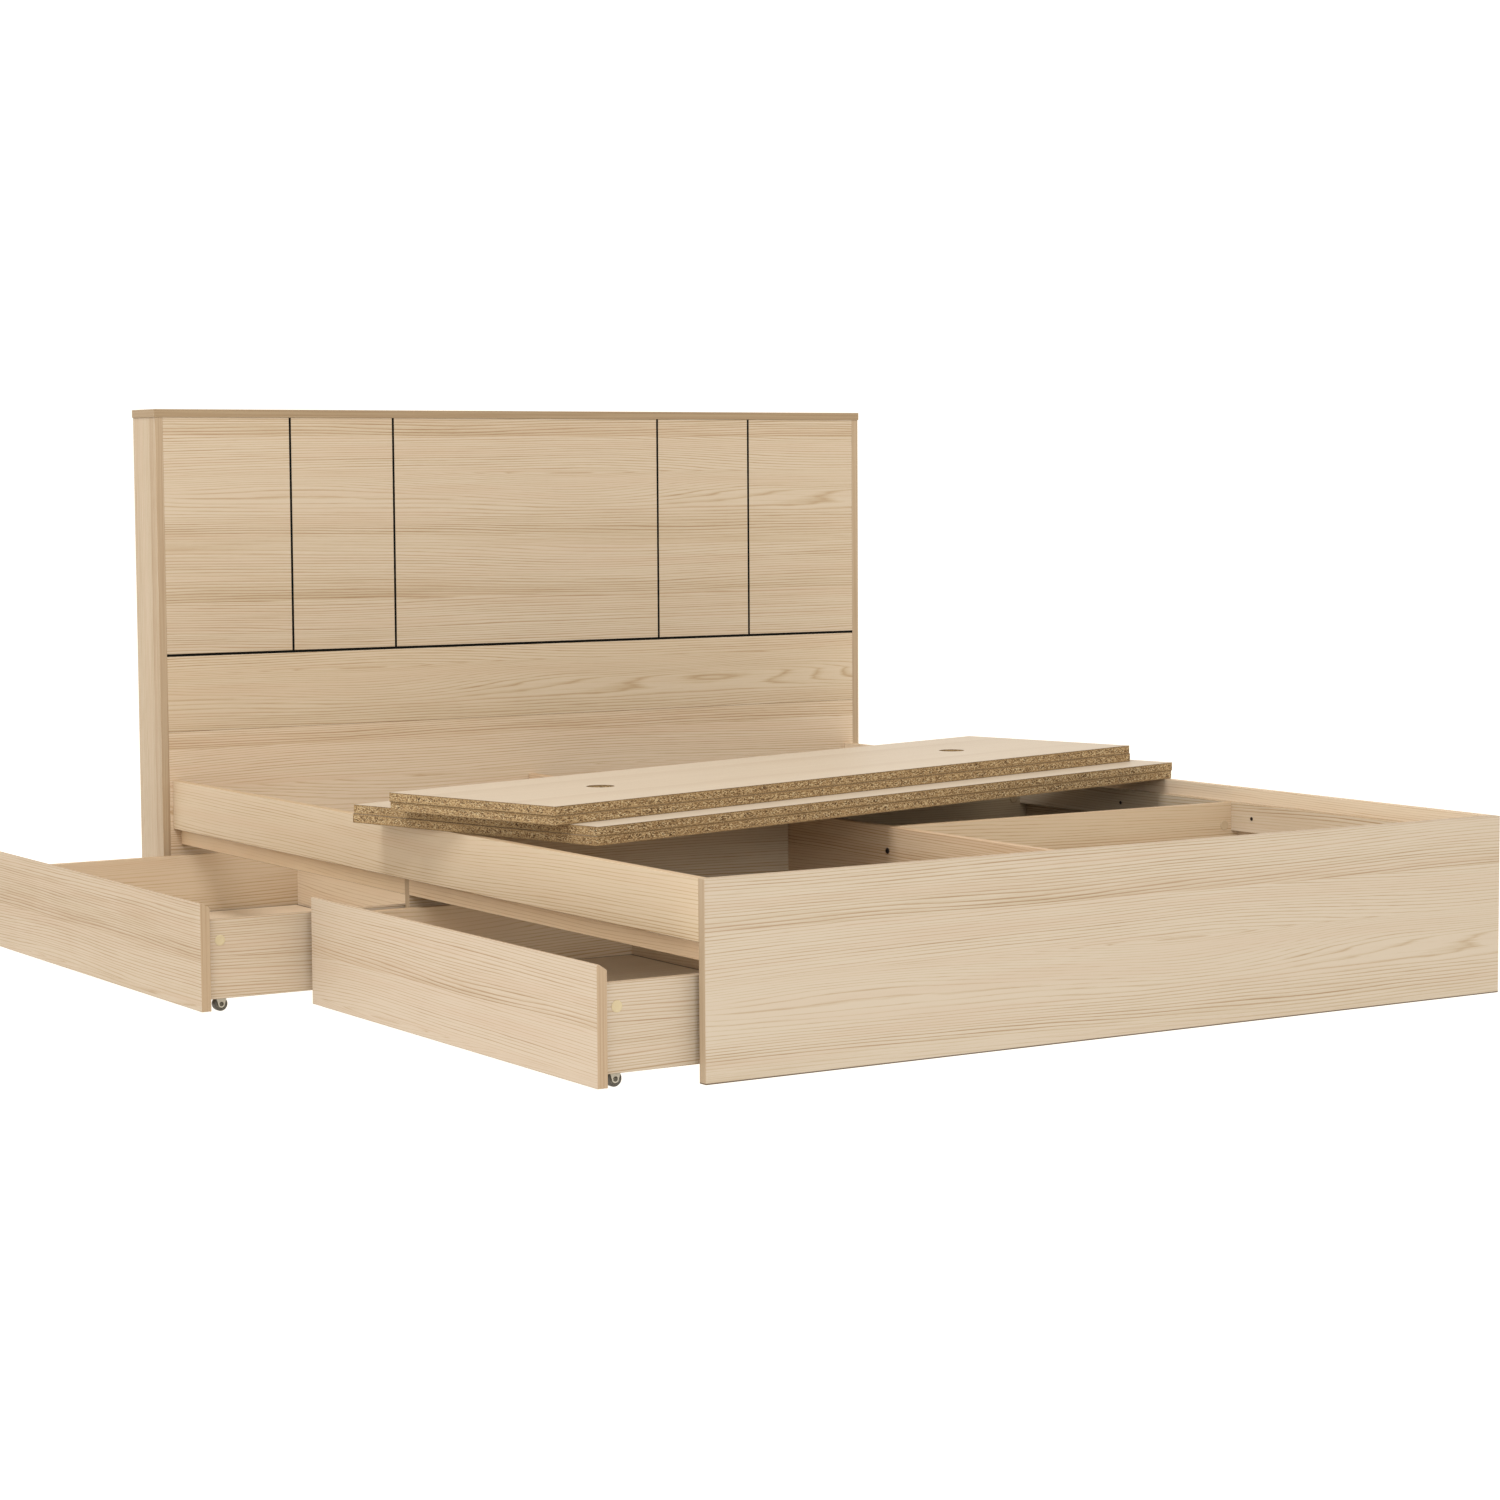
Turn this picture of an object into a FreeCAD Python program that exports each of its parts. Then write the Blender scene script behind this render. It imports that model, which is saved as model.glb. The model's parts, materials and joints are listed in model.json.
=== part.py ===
"""Storage bed with two roll-out drawers, a boxed headboard and a lift-off deck.

Frame: the origin is on the floor, at the middle of the bed frame's inner space.
+X points to the side without drawers, +Y points to the headboard, +Z points up.
All sizes are in millimetres. The bed is shown as photographed: both drawers are
pulled out part of the way and the four deck boards lie stacked across the side rails.
"""
import FreeCAD, Part
import Sketcher
import os
import re
import sys

# Driving sizes
SIZES = {
    # frame
    "bed_width": 1650,
    "inner_length": 2042,
    "side_height": 315,
    "footboard_thickness": 18,
    "rail_thickness": 16,
    "rail_height": 98,
    "board_thickness": 16,
    "deck_level": 287,
    "apron_height": 102,
    "ledge_height": 55,
    "edge_round": 0.8,
    # headboard
    "headboard_width": 1696,
    "headboard_depth": 116,
    "headboard_height": 1063,
    "post_thickness": 16,
    "panel_thickness": 16,
    "cap_thickness": 16,
    "cap_overhang": 2,
    "cap_proud": 1,
    "inlay_level": 568,
    "panel_joint_level": 413,
    "inlay_width": 5,
    "inlay_depth": 3,
    "inlay_recess": 0.4,
    "inlay_inner_offset": 320,
    "inlay_outer_offset": 554,
    "rib_inset": 200,
    "back_rail_height": 100,
    "back_rail_level": 200,
    # fasteners of the frame
    "screw_radius": 2,
    "screw_head_radius": 3.6,
    "screw_head_height": 1.2,
    "screw_grip": 12,
    "hole_clearance": 0.1,
    "bolt_radius": 3,
    "bolt_head_radius": 5,
    "bolt_head_height": 1.5,
    "bolt_grip": 10,
    "cam_radius": 7.5,
    "cam_depth": 12.5,
    "cam_gap": 0.2,
    "cam_inset": 33.5,
    "cam_high_height": 243,
    "cam_middle_height": 180,
    "cam_low_height": 80,
    "cover_radius": 9.5,
    "cover_height": 1,
    # deck boards
    "deck_thickness": 16,
    "deck_side_gap": 1,
    "deck_end_gap": 0.5,
    "wide_deck_share": 0.3,
    "narrow_deck_share": 0.2,
    "finger_hole_radius": 25,
    "finger_hole_inset": 314,
    "stack_lower_offset": -30,
    "stack_lower_setback": -37,
    "stack_lower_angle": 15.2,
    "stack_upper_offset": -55,
    "stack_upper_setback": -74,
    "stack_upper_angle": 15.7,
    "stack_slip": 2,
    # drawers
    "drawer_foot_pull": 175,
    "drawer_head_pull": 374,
    "front_thickness": 18,
    "front_height": 188,
    "front_floor_gap": 8,
    "front_end_gap": 6,
    "front_divider_gap": 2,
    "grip_flat": 5,
    "grip_bevel": 9,
    "side_setback": 10,
    "side_floor_gap": 27,
    "drawer_side_height": 138,
    "drawer_depth": 628,
    "drawer_floor_rise": 5,
    "drawer_floor_thickness": 16,
    "drawer_cam_height": 129,
    "drawer_cam_inset": 22,
    "back_screw_inset": 34,
    # casters
    "wheel_radius": 12.5,
    "wheel_width": 14,
    "wheel_round": 2,
    "wheel_bore_clearance": 0.05,
    "wheel_side_gap": 0.6,
    "axle_radius": 2.5,
    "rivet_radius": 4,
    "rivet_height": 1.2,
    "cheek_thickness": 1.5,
    "cheek_top_width": 24,
    "cheek_tip_radius": 6,
    "plate_length": 38,
    "plate_margin": 7,
    "plate_thickness": 1.5,
    "plate_screw_inset": 4,
    "plate_screw_radius": 1.6,
    "plate_screw_head_radius": 3,
    "plate_screw_grip": 10,
    "caster_inset_x": 36,
    "caster_inset_y": 14,
}

# Places worked out from the driving sizes
PLACES = {
    "half_width": "bed_width / 2",
    "half_length": "inner_length / 2",
    "rail_inner": "half_width - rail_thickness",
    "ledge_inner": "rail_inner - board_thickness",
    "rail_level": "side_height - rail_height",
    "ledge_level": "deck_level - ledge_height",
    "apron_level": "deck_level - apron_height",
    "half_board": "board_thickness / 2",
    "bay_length": "half_length - half_board",
    "post_inner": "headboard_width / 2 - post_thickness",
    "panel_top": "headboard_height - cap_thickness",
    "inlay_top": "inlay_level + inlay_width / 2",
    "inlay_bottom": "inlay_level - inlay_width / 2",
    "inlay_thickness": "inlay_depth - inlay_recess",
    "headboard_back": "half_length + headboard_depth",
    "cross_place": "inner_length / 6",
    "screw_level": "deck_level - ledge_height / 2",
    "deck_length": "2 * (rail_inner - deck_side_gap)",
    "finger_hole_x": "deck_length / 2 - finger_hole_inset",
    "front_length": "bay_length - front_end_gap - front_divider_gap",
    "half_front": "front_length / 2",
    "front_middle": "half_board + front_divider_gap + half_front",
    "half_box": "half_front - side_setback",
    "half_space": "half_box - board_thickness",
    "drawer_space": "drawer_depth - board_thickness",
    "drawer_floor_level": "side_floor_gap + drawer_floor_rise",
    "bracket_half": "wheel_width / 2 + wheel_side_gap",
    "cheek_outer": "bracket_half + cheek_thickness",
    "plate_half": "cheek_outer + plate_margin",
    "plate_level": "drawer_floor_level - plate_thickness",
}

# Places along the bed of the screws that hold the ledge and the aprons,
# as shares of the inner length
LEDGE_SCREW_SHARES = (-0.396, -0.2, -0.003, 0.193, 0.39)
APRON_SCREW_SHARES = (-0.4, -0.2, 0.2, 0.4)

# Headboard panels: name, lowest and highest level, and shares of the height between
# them at which the cams sit
PANELS = (
    ("headboard_lower_panel", "0", "panel_joint_level", (0.3, 0.8)),
    ("headboard_middle_panel", "panel_joint_level", "inlay_bottom", (0.5,)),
    ("headboard_upper_panel", "inlay_top", "panel_top", (0.3, 0.8)),
)

# The deck boards from the bottom of the stack up: width as a share of the inner length,
# pair, and whether the board has slipped
DECK_STACK = (
    ("wide_deck_share", "lower", 0),
    ("wide_deck_share", "lower", 1),
    ("narrow_deck_share", "upper", 1),
    ("narrow_deck_share", "upper", 0),
)

# Places of repeated boards
CROSS_BOARDS = {"foot": "-cross_place", "head": "cross_place"}
BACK_RAILS = {"top": "panel_top - back_rail_height", "bottom": "back_rail_level"}

ALONG = {
    "X": FreeCAD.Rotation(FreeCAD.Vector(0, 1, 0), 90),
    "Y": FreeCAD.Rotation(FreeCAD.Vector(1, 0, 0), -90),
    "Z": FreeCAD.Rotation(),
}
UPRIGHT = FreeCAD.Rotation(FreeCAD.Vector(1, 0, 0), 90)

doc = FreeCAD.newDocument("StorageBed")
sheet = doc.addObject("Spreadsheet::Sheet", "Sizes")
for row, (alias, value) in enumerate(SIZES.items(), start=1):
    sheet.set(f"A{row}", alias)
    sheet.set(f"B{row}", str(value))
    sheet.setAlias(f"B{row}", alias)
doc.recompute()

nodes = []
cutters = {}


def spell(text):
    """Spell an expression out in the sheet's own cells."""
    def replace(match):
        word = match.group(0)
        if word in PLACES:
            return "(" + spell(PLACES[word]) + ")"
        if word in SIZES:
            return "Sizes." + word
        return word
    return re.sub(r"[A-Za-z_]+", replace, str(text))


def bind(item, **expressions):
    """Bind properties of an object to size expressions."""
    for name, text in expressions.items():
        item.setExpression(name.replace("__", "."), spell(text))


def put(item, place, rotation=None):
    """Place an object at three expressions, turned as the rotation says."""
    if rotation is not None:
        item.Placement = FreeCAD.Placement(FreeCAD.Vector(), rotation)
    bind(item, Placement__Base__x=place[0], Placement__Base__y=place[1], Placement__Base__z=place[2])


def box(label, size, place):
    """A plain block from three size expressions, placed by its lowest corner."""
    item = doc.addObject("Part::Box", label)
    bind(item, Length=size[0], Width=size[1], Height=size[2])
    put(item, place)
    return item


def rod(label, radius, length, place, along):
    """A cylinder that runs from its place in the positive direction of an axis."""
    item = doc.addObject("Part::Cylinder", label)
    bind(item, Radius=radius, Height=length)
    put(item, place, ALONG[along])
    return item


def fuse(label, items):
    """Join shapes into one solid."""
    item = doc.addObject("Part::MultiFuse", label)
    item.Shapes = items
    return item


def cut(label, base, tools):
    """Take one or more shapes out of a base."""
    tool = tools[0]
    if len(tools) > 1:
        tool = fuse(label + "_cutters", tools)
    item = doc.addObject("Part::Cut", label)
    item.Base = base
    item.Tool = tool
    return item


def drill(labels, cutter):
    """Note a hole, pocket or notch for the named boards."""
    for label in labels:
        cutters.setdefault(label, []).append(cutter)


def node(item):
    """Count an object as one of the bed's sub-parts."""
    nodes.append(item)
    return item


def finish(label, base):
    """Cut a sub-part's holes, pockets and notches."""
    return node(cut(label, base, cutters[label]))


def board(label, size, place):
    """A board with softened edges, as its own sub-part."""
    blank = box(label + "_blank", size, place)
    doc.recompute()
    radius = sheet.get("edge_round")
    drilled = label in cutters
    banded = doc.addObject("Part::Fillet", label + "_banded" if drilled else label)
    banded.Base = blank
    banded.Edges = [(number + 1, radius, radius) for number in range(len(blank.Shape.Edges))]
    return finish(label, banded) if drilled else node(banded)


def group(label, items):
    """Separate solids of one kind that share a node."""
    item = doc.addObject("Part::Compound", label)
    item.Links = items
    return node(item)


def outline(body, name, role, points):
    """A closed outline on one of the body's own planes, each corner bound to expressions."""
    plane = [item for item in body.Origin.OriginFeatures if item.Role == role][0]
    sketch = body.newObject("Sketcher::SketchObject", name)
    sketch.AttachmentSupport = (plane, "")
    sketch.MapMode = "FlatFace"
    corners = [(value_of(x), value_of(y)) for x, y in points]
    count = len(corners)
    for here in range(count):
        start = FreeCAD.Vector(*corners[here], 0)
        end = FreeCAD.Vector(*corners[(here + 1) % count], 0)
        sketch.addGeometry(Part.LineSegment(start, end))
    for here in range(count):
        sketch.addConstraint(Sketcher.Constraint("Coincident", here, 2, (here + 1) % count, 1))
    for here in range(count):
        for kind, axis in (("DistanceX", 0), ("DistanceY", 1)):
            number = sketch.addConstraint(Sketcher.Constraint(kind, -1, 1, here, 1, corners[here][axis]))
            sketch.setExpression(f"Constraints[{number}]", spell(points[here][axis]))
    return sketch


def circles(body, name, role, rings):
    """Circles on one of the body's own planes, each with a bound place and radius."""
    plane = [item for item in body.Origin.OriginFeatures if item.Role == role][0]
    sketch = body.newObject("Sketcher::SketchObject", name)
    sketch.AttachmentSupport = (plane, "")
    sketch.MapMode = "FlatFace"
    for number, (x, y, radius) in enumerate(rings):
        centre = FreeCAD.Vector(value_of(x), value_of(y), 0)
        sketch.addGeometry(Part.Circle(centre, FreeCAD.Vector(0, 0, 1), value_of(radius)))
        for constraint, text in (
            (Sketcher.Constraint("DistanceX", -1, 1, number, 3, centre.x), x),
            (Sketcher.Constraint("DistanceY", -1, 1, number, 3, centre.y), y),
            (Sketcher.Constraint("Radius", number, value_of(radius)), radius),
        ):
            place = sketch.addConstraint(constraint)
            sketch.setExpression(f"Constraints[{place}]", spell(text))
    return sketch


def value_of(text):
    """The present value of an expression."""
    return float(sheet.evalExpression(spell(text)))


# Cam fittings

def lock(kit, host, mates, run, seam, toward, across, face, facing, rest, inset="cam_inset", through=False):
    """A cam in the host board and the bolt that runs from it into the mating boards.

    The bolt lies along the axis named run and crosses the seam in the direction toward.
    The cam is pressed into the host's face, which lies across and looks in the direction
    facing. The expression rest gives the place along the third axis. A through bolt has
    its head on the far side of a mating board.
    """
    third = "XYZ".replace(run, "").replace(across, "")
    tag = f"{host}_cam_{len(kit['covers'])}"
    back = "-" if toward == "+" else "+"
    inward = "-" if facing == "+" else "+"

    def at(run_place, across_place):
        places = {run: run_place, across: across_place, third: rest}
        return tuple(places[axis] for axis in "XYZ")

    cam_run = f"{seam} {back} {inset}"
    cam_start = f"{face} - cam_depth" if facing == "+" else face
    cover_start = face if facing == "+" else f"{face} - cover_height"
    shank = f"({inset} - cam_radius - cam_gap)"
    grip = "board_thickness" if through else "bolt_grip"
    bolt_start = f"{seam} - {shank}" if toward == "+" else f"{seam} - {grip}"
    middle = f"{face} {inward} half_board"
    length = f"{shank} + {grip}"
    cam = rod(tag, "cam_radius", "cam_depth", at(cam_run, cam_start), across)
    cover = rod(tag + "_cover", "cover_radius", "cover_height", at(cam_run, cover_start), across)
    bolt = rod(tag + "_bolt", "bolt_radius", length, at(bolt_start, middle), run)
    if through:
        head_start = f"{seam} + {grip}" if toward == "+" else f"{seam} - {grip} - bolt_head_height"
        head = rod(tag + "_head", "bolt_head_radius", "bolt_head_height", at(head_start, middle), run)
        bolt = fuse(tag + "_headed_bolt", [bolt, head])
    kit["fittings"] += [cam, bolt]
    kit["covers"].append(cover)
    pocket_radius = "cam_radius + hole_clearance"
    pocket = rod(tag + "_pocket", pocket_radius, "cam_depth", at(cam_run, cam_start), across)
    hole = rod(tag + "_hole", "bolt_radius + hole_clearance", length, at(bolt_start, middle), run)
    drill([host], pocket)
    drill([host] + mates, hole)


def side_screw(tag, boards, start, share, screws):
    """A screw along the bed's width, with its head on the side towards the middle."""
    inner = start if tag.startswith("ledge") else f"{start} + board_thickness + screw_grip"
    head = f"{inner} - screw_head_height" if tag.startswith("ledge") else inner
    length = "board_thickness + screw_grip"
    place = f"{share} * inner_length"
    shaft = rod(tag + "_shaft", "screw_radius", length, (start, place, "screw_level"), "X")
    cover = rod(tag + "_head", "screw_head_radius", "screw_head_height", (head, place, "screw_level"), "X")
    screws.append(fuse(tag, [shaft, cover]))
    hole = rod(tag + "_hole", "screw_radius + hole_clearance", length, (start, place, "screw_level"), "X")
    drill(boards, hole)


# Frame

def join_frame(kit, screws):
    """Fittings that hold the frame's boards together, with their holes."""
    for end, seam, toward, mate in (("foot", "-half_length", "-", "footboard"),
                                    ("head", "half_length", "+", "headboard_lower_panel")):
        lock(kit, f"apron_{end}", [mate], "Y", seam, toward, "X", "-ledge_inner", "+",
             "apron_level + apron_height / 2")
        for level in ("cam_low_height", "cam_high_height"):
            lock(kit, "center_spine", [mate], "Y", seam, toward, "X", "half_board", "+", level)
        for level in ("cam_low_height", "cam_middle_height"):
            lock(kit, "side_panel_right", [mate], "Y", seam, toward, "X", "rail_inner", "-", level)
    back = "half_board"
    lock(kit, "bay_divider", ["rail_left"], "X", "-rail_inner", "-", "Y", back, "+", "cam_high_height")
    for level in ("cam_low_height", "cam_high_height"):
        lock(kit, "bay_divider", ["center_spine"], "X", "-half_board", "+", "Y", back, "+", level)
        for end, place in CROSS_BOARDS.items():
            # the bolt through the spine shows its head, the other one crosses the ledge
            face = f"{place} - half_board"
            lock(kit, f"cross_board_{end}", ["center_spine"], "X", "half_board", "-", "Y", face, "-", level,
                 through=True)
            mates = ["side_panel_right"]
            if level == "cam_high_height":
                mates.append("ledge_right")
            lock(kit, f"cross_board_{end}", mates, "X", "rail_inner", "+", "Y", face, "-", level)
    for number, share in enumerate(APRON_SCREW_SHARES):
        apron = "apron_foot" if share < 0 else "apron_head"
        side_screw(f"apron_screw_{number}", [apron, "rail_left"], "-rail_inner - screw_grip", share, screws)
    for number, share in enumerate(LEDGE_SCREW_SHARES):
        boards = ["ledge_right", "side_panel_right"]
        side_screw(f"ledge_screw_{number}", boards, "ledge_inner", share, screws)


def build_frame():
    """Footboard, sides, ledges, spine and the boards across."""
    board("footboard", ("bed_width", "footboard_thickness", "side_height"),
          ("-half_width", "-half_length - footboard_thickness", "0"))
    board("rail_left", ("rail_thickness", "inner_length", "rail_height"),
          ("-half_width", "-half_length", "rail_level"))
    board("side_panel_right", ("rail_thickness", "inner_length", "side_height"),
          ("rail_inner", "-half_length", "0"))
    board("ledge_right", ("board_thickness", "inner_length", "ledge_height"),
          ("ledge_inner", "-half_length", "ledge_level"))
    for end, start in (("foot", "-half_length"), ("head", "half_board")):
        board(f"apron_{end}", ("board_thickness", "bay_length", "apron_height"),
              ("-rail_inner", start, "apron_level"))
    board("center_spine", ("board_thickness", "inner_length", "deck_level"),
          ("-half_board", "-half_length", "0"))
    board("bay_divider", ("rail_inner - half_board", "board_thickness", "deck_level"),
          ("-rail_inner", "-half_board", "0"))
    for end, place in CROSS_BOARDS.items():
        # each cross board is notched to pass under the ledge
        label = f"cross_board_{end}"
        start = f"{place} - half_board"
        notch = box(f"{label}_notch", ("board_thickness", "board_thickness", "ledge_height"),
                    ("ledge_inner", start, "ledge_level"))
        drill([label], notch)
        board(label, ("rail_inner - half_board", "board_thickness", "deck_level"),
              ("half_board", start, "0"))


# Headboard

def join_headboard(kit):
    """Fittings between the headboard's posts, panels, back rails and cap."""
    panel_back = "half_length + panel_thickness"
    for side, toward, outward in (("left", "-", "-"), ("right", "+", "")):
        post = f"headboard_post_{side}"
        seam = f"{outward}post_inner"
        for panel, low, high, shares in PANELS:
            for share in shares:
                level = f"{low} + {share} * ({high} - {low})"
                lock(kit, panel, [post], "X", seam, toward, "Y", panel_back, "+", level)
        for end, level in BACK_RAILS.items():
            lock(kit, f"headboard_back_rail_{end}", [post], "X", seam, toward, "Y",
                 "headboard_back - board_thickness", "-", f"{level} + back_rail_height / 2")
        facing = "+" if side == "left" else "-"
        lock(kit, post, ["headboard_cap"], "Z", "panel_top", "+", "X", seam, facing,
             "half_length + headboard_depth / 2")


def build_headboard():
    """Posts, cap, grooved front panels, inlay strips, ribs and back rails."""
    for side, x in (("left", "-post_inner - post_thickness"), ("right", "post_inner")):
        board(f"headboard_post_{side}", ("post_thickness", "headboard_depth", "panel_top"),
              (x, "half_length", "0"))
    board("headboard_cap",
          ("headboard_width + 2 * cap_overhang", "headboard_depth + cap_proud", "cap_thickness"),
          ("-headboard_width / 2 - cap_overhang", "half_length - cap_proud", "panel_top"))
    upright = "panel_top - inlay_top"
    strips = [box("inlay_strip_across", ("2 * post_inner", "panel_thickness - inlay_recess", "inlay_width"),
                  ("-post_inner", "half_length + inlay_recess", "inlay_bottom"))]
    middles = ("-inlay_outer_offset", "-inlay_inner_offset", "inlay_inner_offset", "inlay_outer_offset")
    for number, middle in enumerate(middles):
        x = f"{middle} - inlay_width / 2"
        groove = box(f"inlay_groove_{number}", ("inlay_width", "inlay_depth", upright),
                     (x, "half_length", "inlay_top"))
        drill(["headboard_upper_panel"], groove)
        strips.append(box(f"inlay_strip_{number}", ("inlay_width", "inlay_thickness", upright),
                          (x, "half_length + inlay_recess", "inlay_top")))
    group("headboard_inlay_strips", strips)
    for panel, low, high, _ in PANELS:
        board(panel, ("2 * post_inner", "panel_thickness", f"{high} - {low}"),
              ("-post_inner", "half_length", low))
    for side, x in (("left", "-post_inner + rib_inset"),
                    ("right", "post_inner - rib_inset - board_thickness")):
        board(f"headboard_rib_{side}",
              ("board_thickness", "headboard_depth - panel_thickness - board_thickness", "panel_top"),
              (x, "half_length + panel_thickness", "0"))
    for end, level in BACK_RAILS.items():
        board(f"headboard_back_rail_{end}", ("2 * post_inner", "board_thickness", "back_rail_height"),
              ("-post_inner", "headboard_back - board_thickness", level))


# Deck boards, stacked across the rails

def build_deck_board(number, share, pair, slip):
    """One particle board with two finger holes, turned on the stack."""
    label = f"deck_board_{number}"
    body = doc.addObject("PartDesign::Body", label)
    length = "deck_length / 2"
    width = f"({share} * inner_length - deck_end_gap) / 2"
    sheet_outline = outline(body, label + "_outline", "XY_Plane", (
        (f"-{length}", f"-{width}"), (length, f"-{width}"), (length, width), (f"-{length}", width)))
    pad = body.newObject("PartDesign::Pad", label + "_pad")
    pad.Profile = sheet_outline
    bind(pad, Length="deck_thickness")
    rings = circles(body, label + "_finger_holes", "XY_Plane", (
        ("-finger_hole_x", "0", "finger_hole_radius"), ("finger_hole_x", "0", "finger_hole_radius")))
    pocket = body.newObject("PartDesign::Pocket", label + "_pocket")
    pocket.Profile = rings
    pocket.Type = "ThroughAll"
    pocket.Reversed = True
    bind(body, Placement__Rotation__Angle=f"stack_{pair}_angle")
    put(body, (f"stack_{pair}_offset + {slip} * stack_slip", f"stack_{pair}_setback",
               f"side_height + {number - 1} * deck_thickness"))
    node(body)


# Drawers

def build_front(name, outer, middle):
    """A drawer front whose top edge is bevelled at the back as a finger pull."""
    body = doc.addObject("PartDesign::Body", name + "_front_board")
    profile = outline(body, name + "_front_profile", "XZ_Plane", (
        ("0", "0"), ("front_thickness", "0"), ("front_thickness", "front_height - grip_bevel"),
        ("grip_flat", "front_height"), ("0", "front_height")))
    pad = body.newObject("PartDesign::Pad", name + "_front_pad")
    pad.Profile = profile
    pad.Midplane = True
    bind(pad, Length="front_length")
    doc.recompute()
    fillet = body.newObject("PartDesign::Fillet", name + "_front_edges")
    fillet.Base = (pad, [""])
    fillet.UseAllEdges = True
    bind(fillet, Radius="edge_round")
    put(body, (outer, middle, "front_floor_gap"))
    finish(name + "_front", body)


def build_wheel(label, place):
    """A caster wheel with a round rim and a bore that runs on the axle."""
    body = doc.addObject("PartDesign::Body", label)
    rings = circles(body, label + "_rings", "XZ_Plane", (
        ("0", "0", "wheel_radius"), ("0", "0", "axle_radius + wheel_bore_clearance")))
    pad = body.newObject("PartDesign::Pad", label + "_pad")
    pad.Profile = rings
    pad.Midplane = True
    bind(pad, Length="wheel_width")
    doc.recompute()
    rim = [f"Edge{number + 1}" for number, edge in enumerate(pad.Shape.Edges)
           if edge.Curve.TypeId == "Part::GeomCircle" and edge.Curve.Radius > value_of("axle_radius * 2")]
    fillet = body.newObject("PartDesign::Fillet", label + "_rim")
    fillet.Base = (pad, rim)
    bind(fillet, Radius="wheel_round")
    put(body, place)
    node(body)


def build_caster(label, floor, x, y):
    """A stamped bracket, its axle rivet and its plate screws, under a drawer's floor."""
    pieces = [box(label + "_plate", ("plate_length", "2 * plate_half", "plate_thickness"),
                  (f"{x} - plate_length / 2", f"{y} - plate_half", "plate_level"))]
    for side, start in (("foot", f"{y} - bracket_half"), ("head", f"{y} + cheek_outer")):
        cheek = doc.addObject("Part::Wedge", f"{label}_cheek_{side}")
        bind(cheek, Ymin="0", Zmin="0", Z2min="0", Ymax="plate_level - wheel_radius",
             Zmax="cheek_thickness", Z2max="cheek_thickness", Xmin="-cheek_tip_radius",
             Xmax="cheek_tip_radius", X2min="-cheek_top_width / 2", X2max="cheek_top_width / 2")
        put(cheek, (x, start, "wheel_radius"), UPRIGHT)
        tip = rod(f"{label}_tip_{side}", "cheek_tip_radius", "cheek_thickness",
                  (x, f"{start} - cheek_thickness", "wheel_radius"), "Y")
        pieces += [cheek, tip]
    axle_start = (x, f"{y} - cheek_outer", "wheel_radius")
    bore = "axle_radius + wheel_bore_clearance"
    holes = [rod(label + "_axle_hole", bore, "2 * cheek_outer", axle_start, "Y")]
    screws = []
    length = "plate_thickness + plate_screw_grip"
    for side, sign in (("foot", "-"), ("head", "+")):
        across = f"{y} {sign} (plate_half - plate_screw_inset)"
        place = (x, across, "plate_level")
        hole = rod(f"{label}_screw_hole_{side}", "plate_screw_radius + hole_clearance", length, place, "Z")
        holes.append(hole)
        drill([floor], hole)
        shaft = rod(f"{label}_screw_shaft_{side}", "plate_screw_radius", length, place, "Z")
        head = rod(f"{label}_screw_head_{side}", "plate_screw_head_radius", "screw_head_height",
                   (x, across, "plate_level - screw_head_height"), "Z")
        screws.append(fuse(f"{label}_screw_{side}", [shaft, head]))
    bracket = cut(label + "_bracket", fuse(label + "_stamping", pieces), holes)
    shank = rod(label + "_shank", "axle_radius", "2 * cheek_outer", axle_start, "Y")
    rivets = [rod(f"{label}_rivet_foot", "rivet_radius", "rivet_height",
                  (x, f"{y} - cheek_outer - rivet_height", "wheel_radius"), "Y"),
              rod(f"{label}_rivet_head", "rivet_radius", "rivet_height",
                  (x, f"{y} + cheek_outer", "wheel_radius"), "Y")]
    axle = fuse(label + "_axle", [shank] + rivets)
    return bracket, axle, screws


def build_back_screw(tag, boards, face, sign, x, level, screws):
    """A screw through a drawer's side into the end of its back."""
    length = "board_thickness + screw_grip"
    start = face if sign == "-" else f"{face} - ({length})"
    head_start = f"{face} - screw_head_height" if sign == "-" else face
    shaft = rod(tag + "_shaft", "screw_radius", length, (x, start, level), "Y")
    head = rod(tag + "_head", "screw_head_radius", "screw_head_height", (x, head_start, level), "Y")
    screws.append(fuse(tag, [shaft, head]))
    drill(boards, rod(tag + "_hole", "screw_radius + hole_clearance", length, (x, start, level), "Y"))


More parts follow.
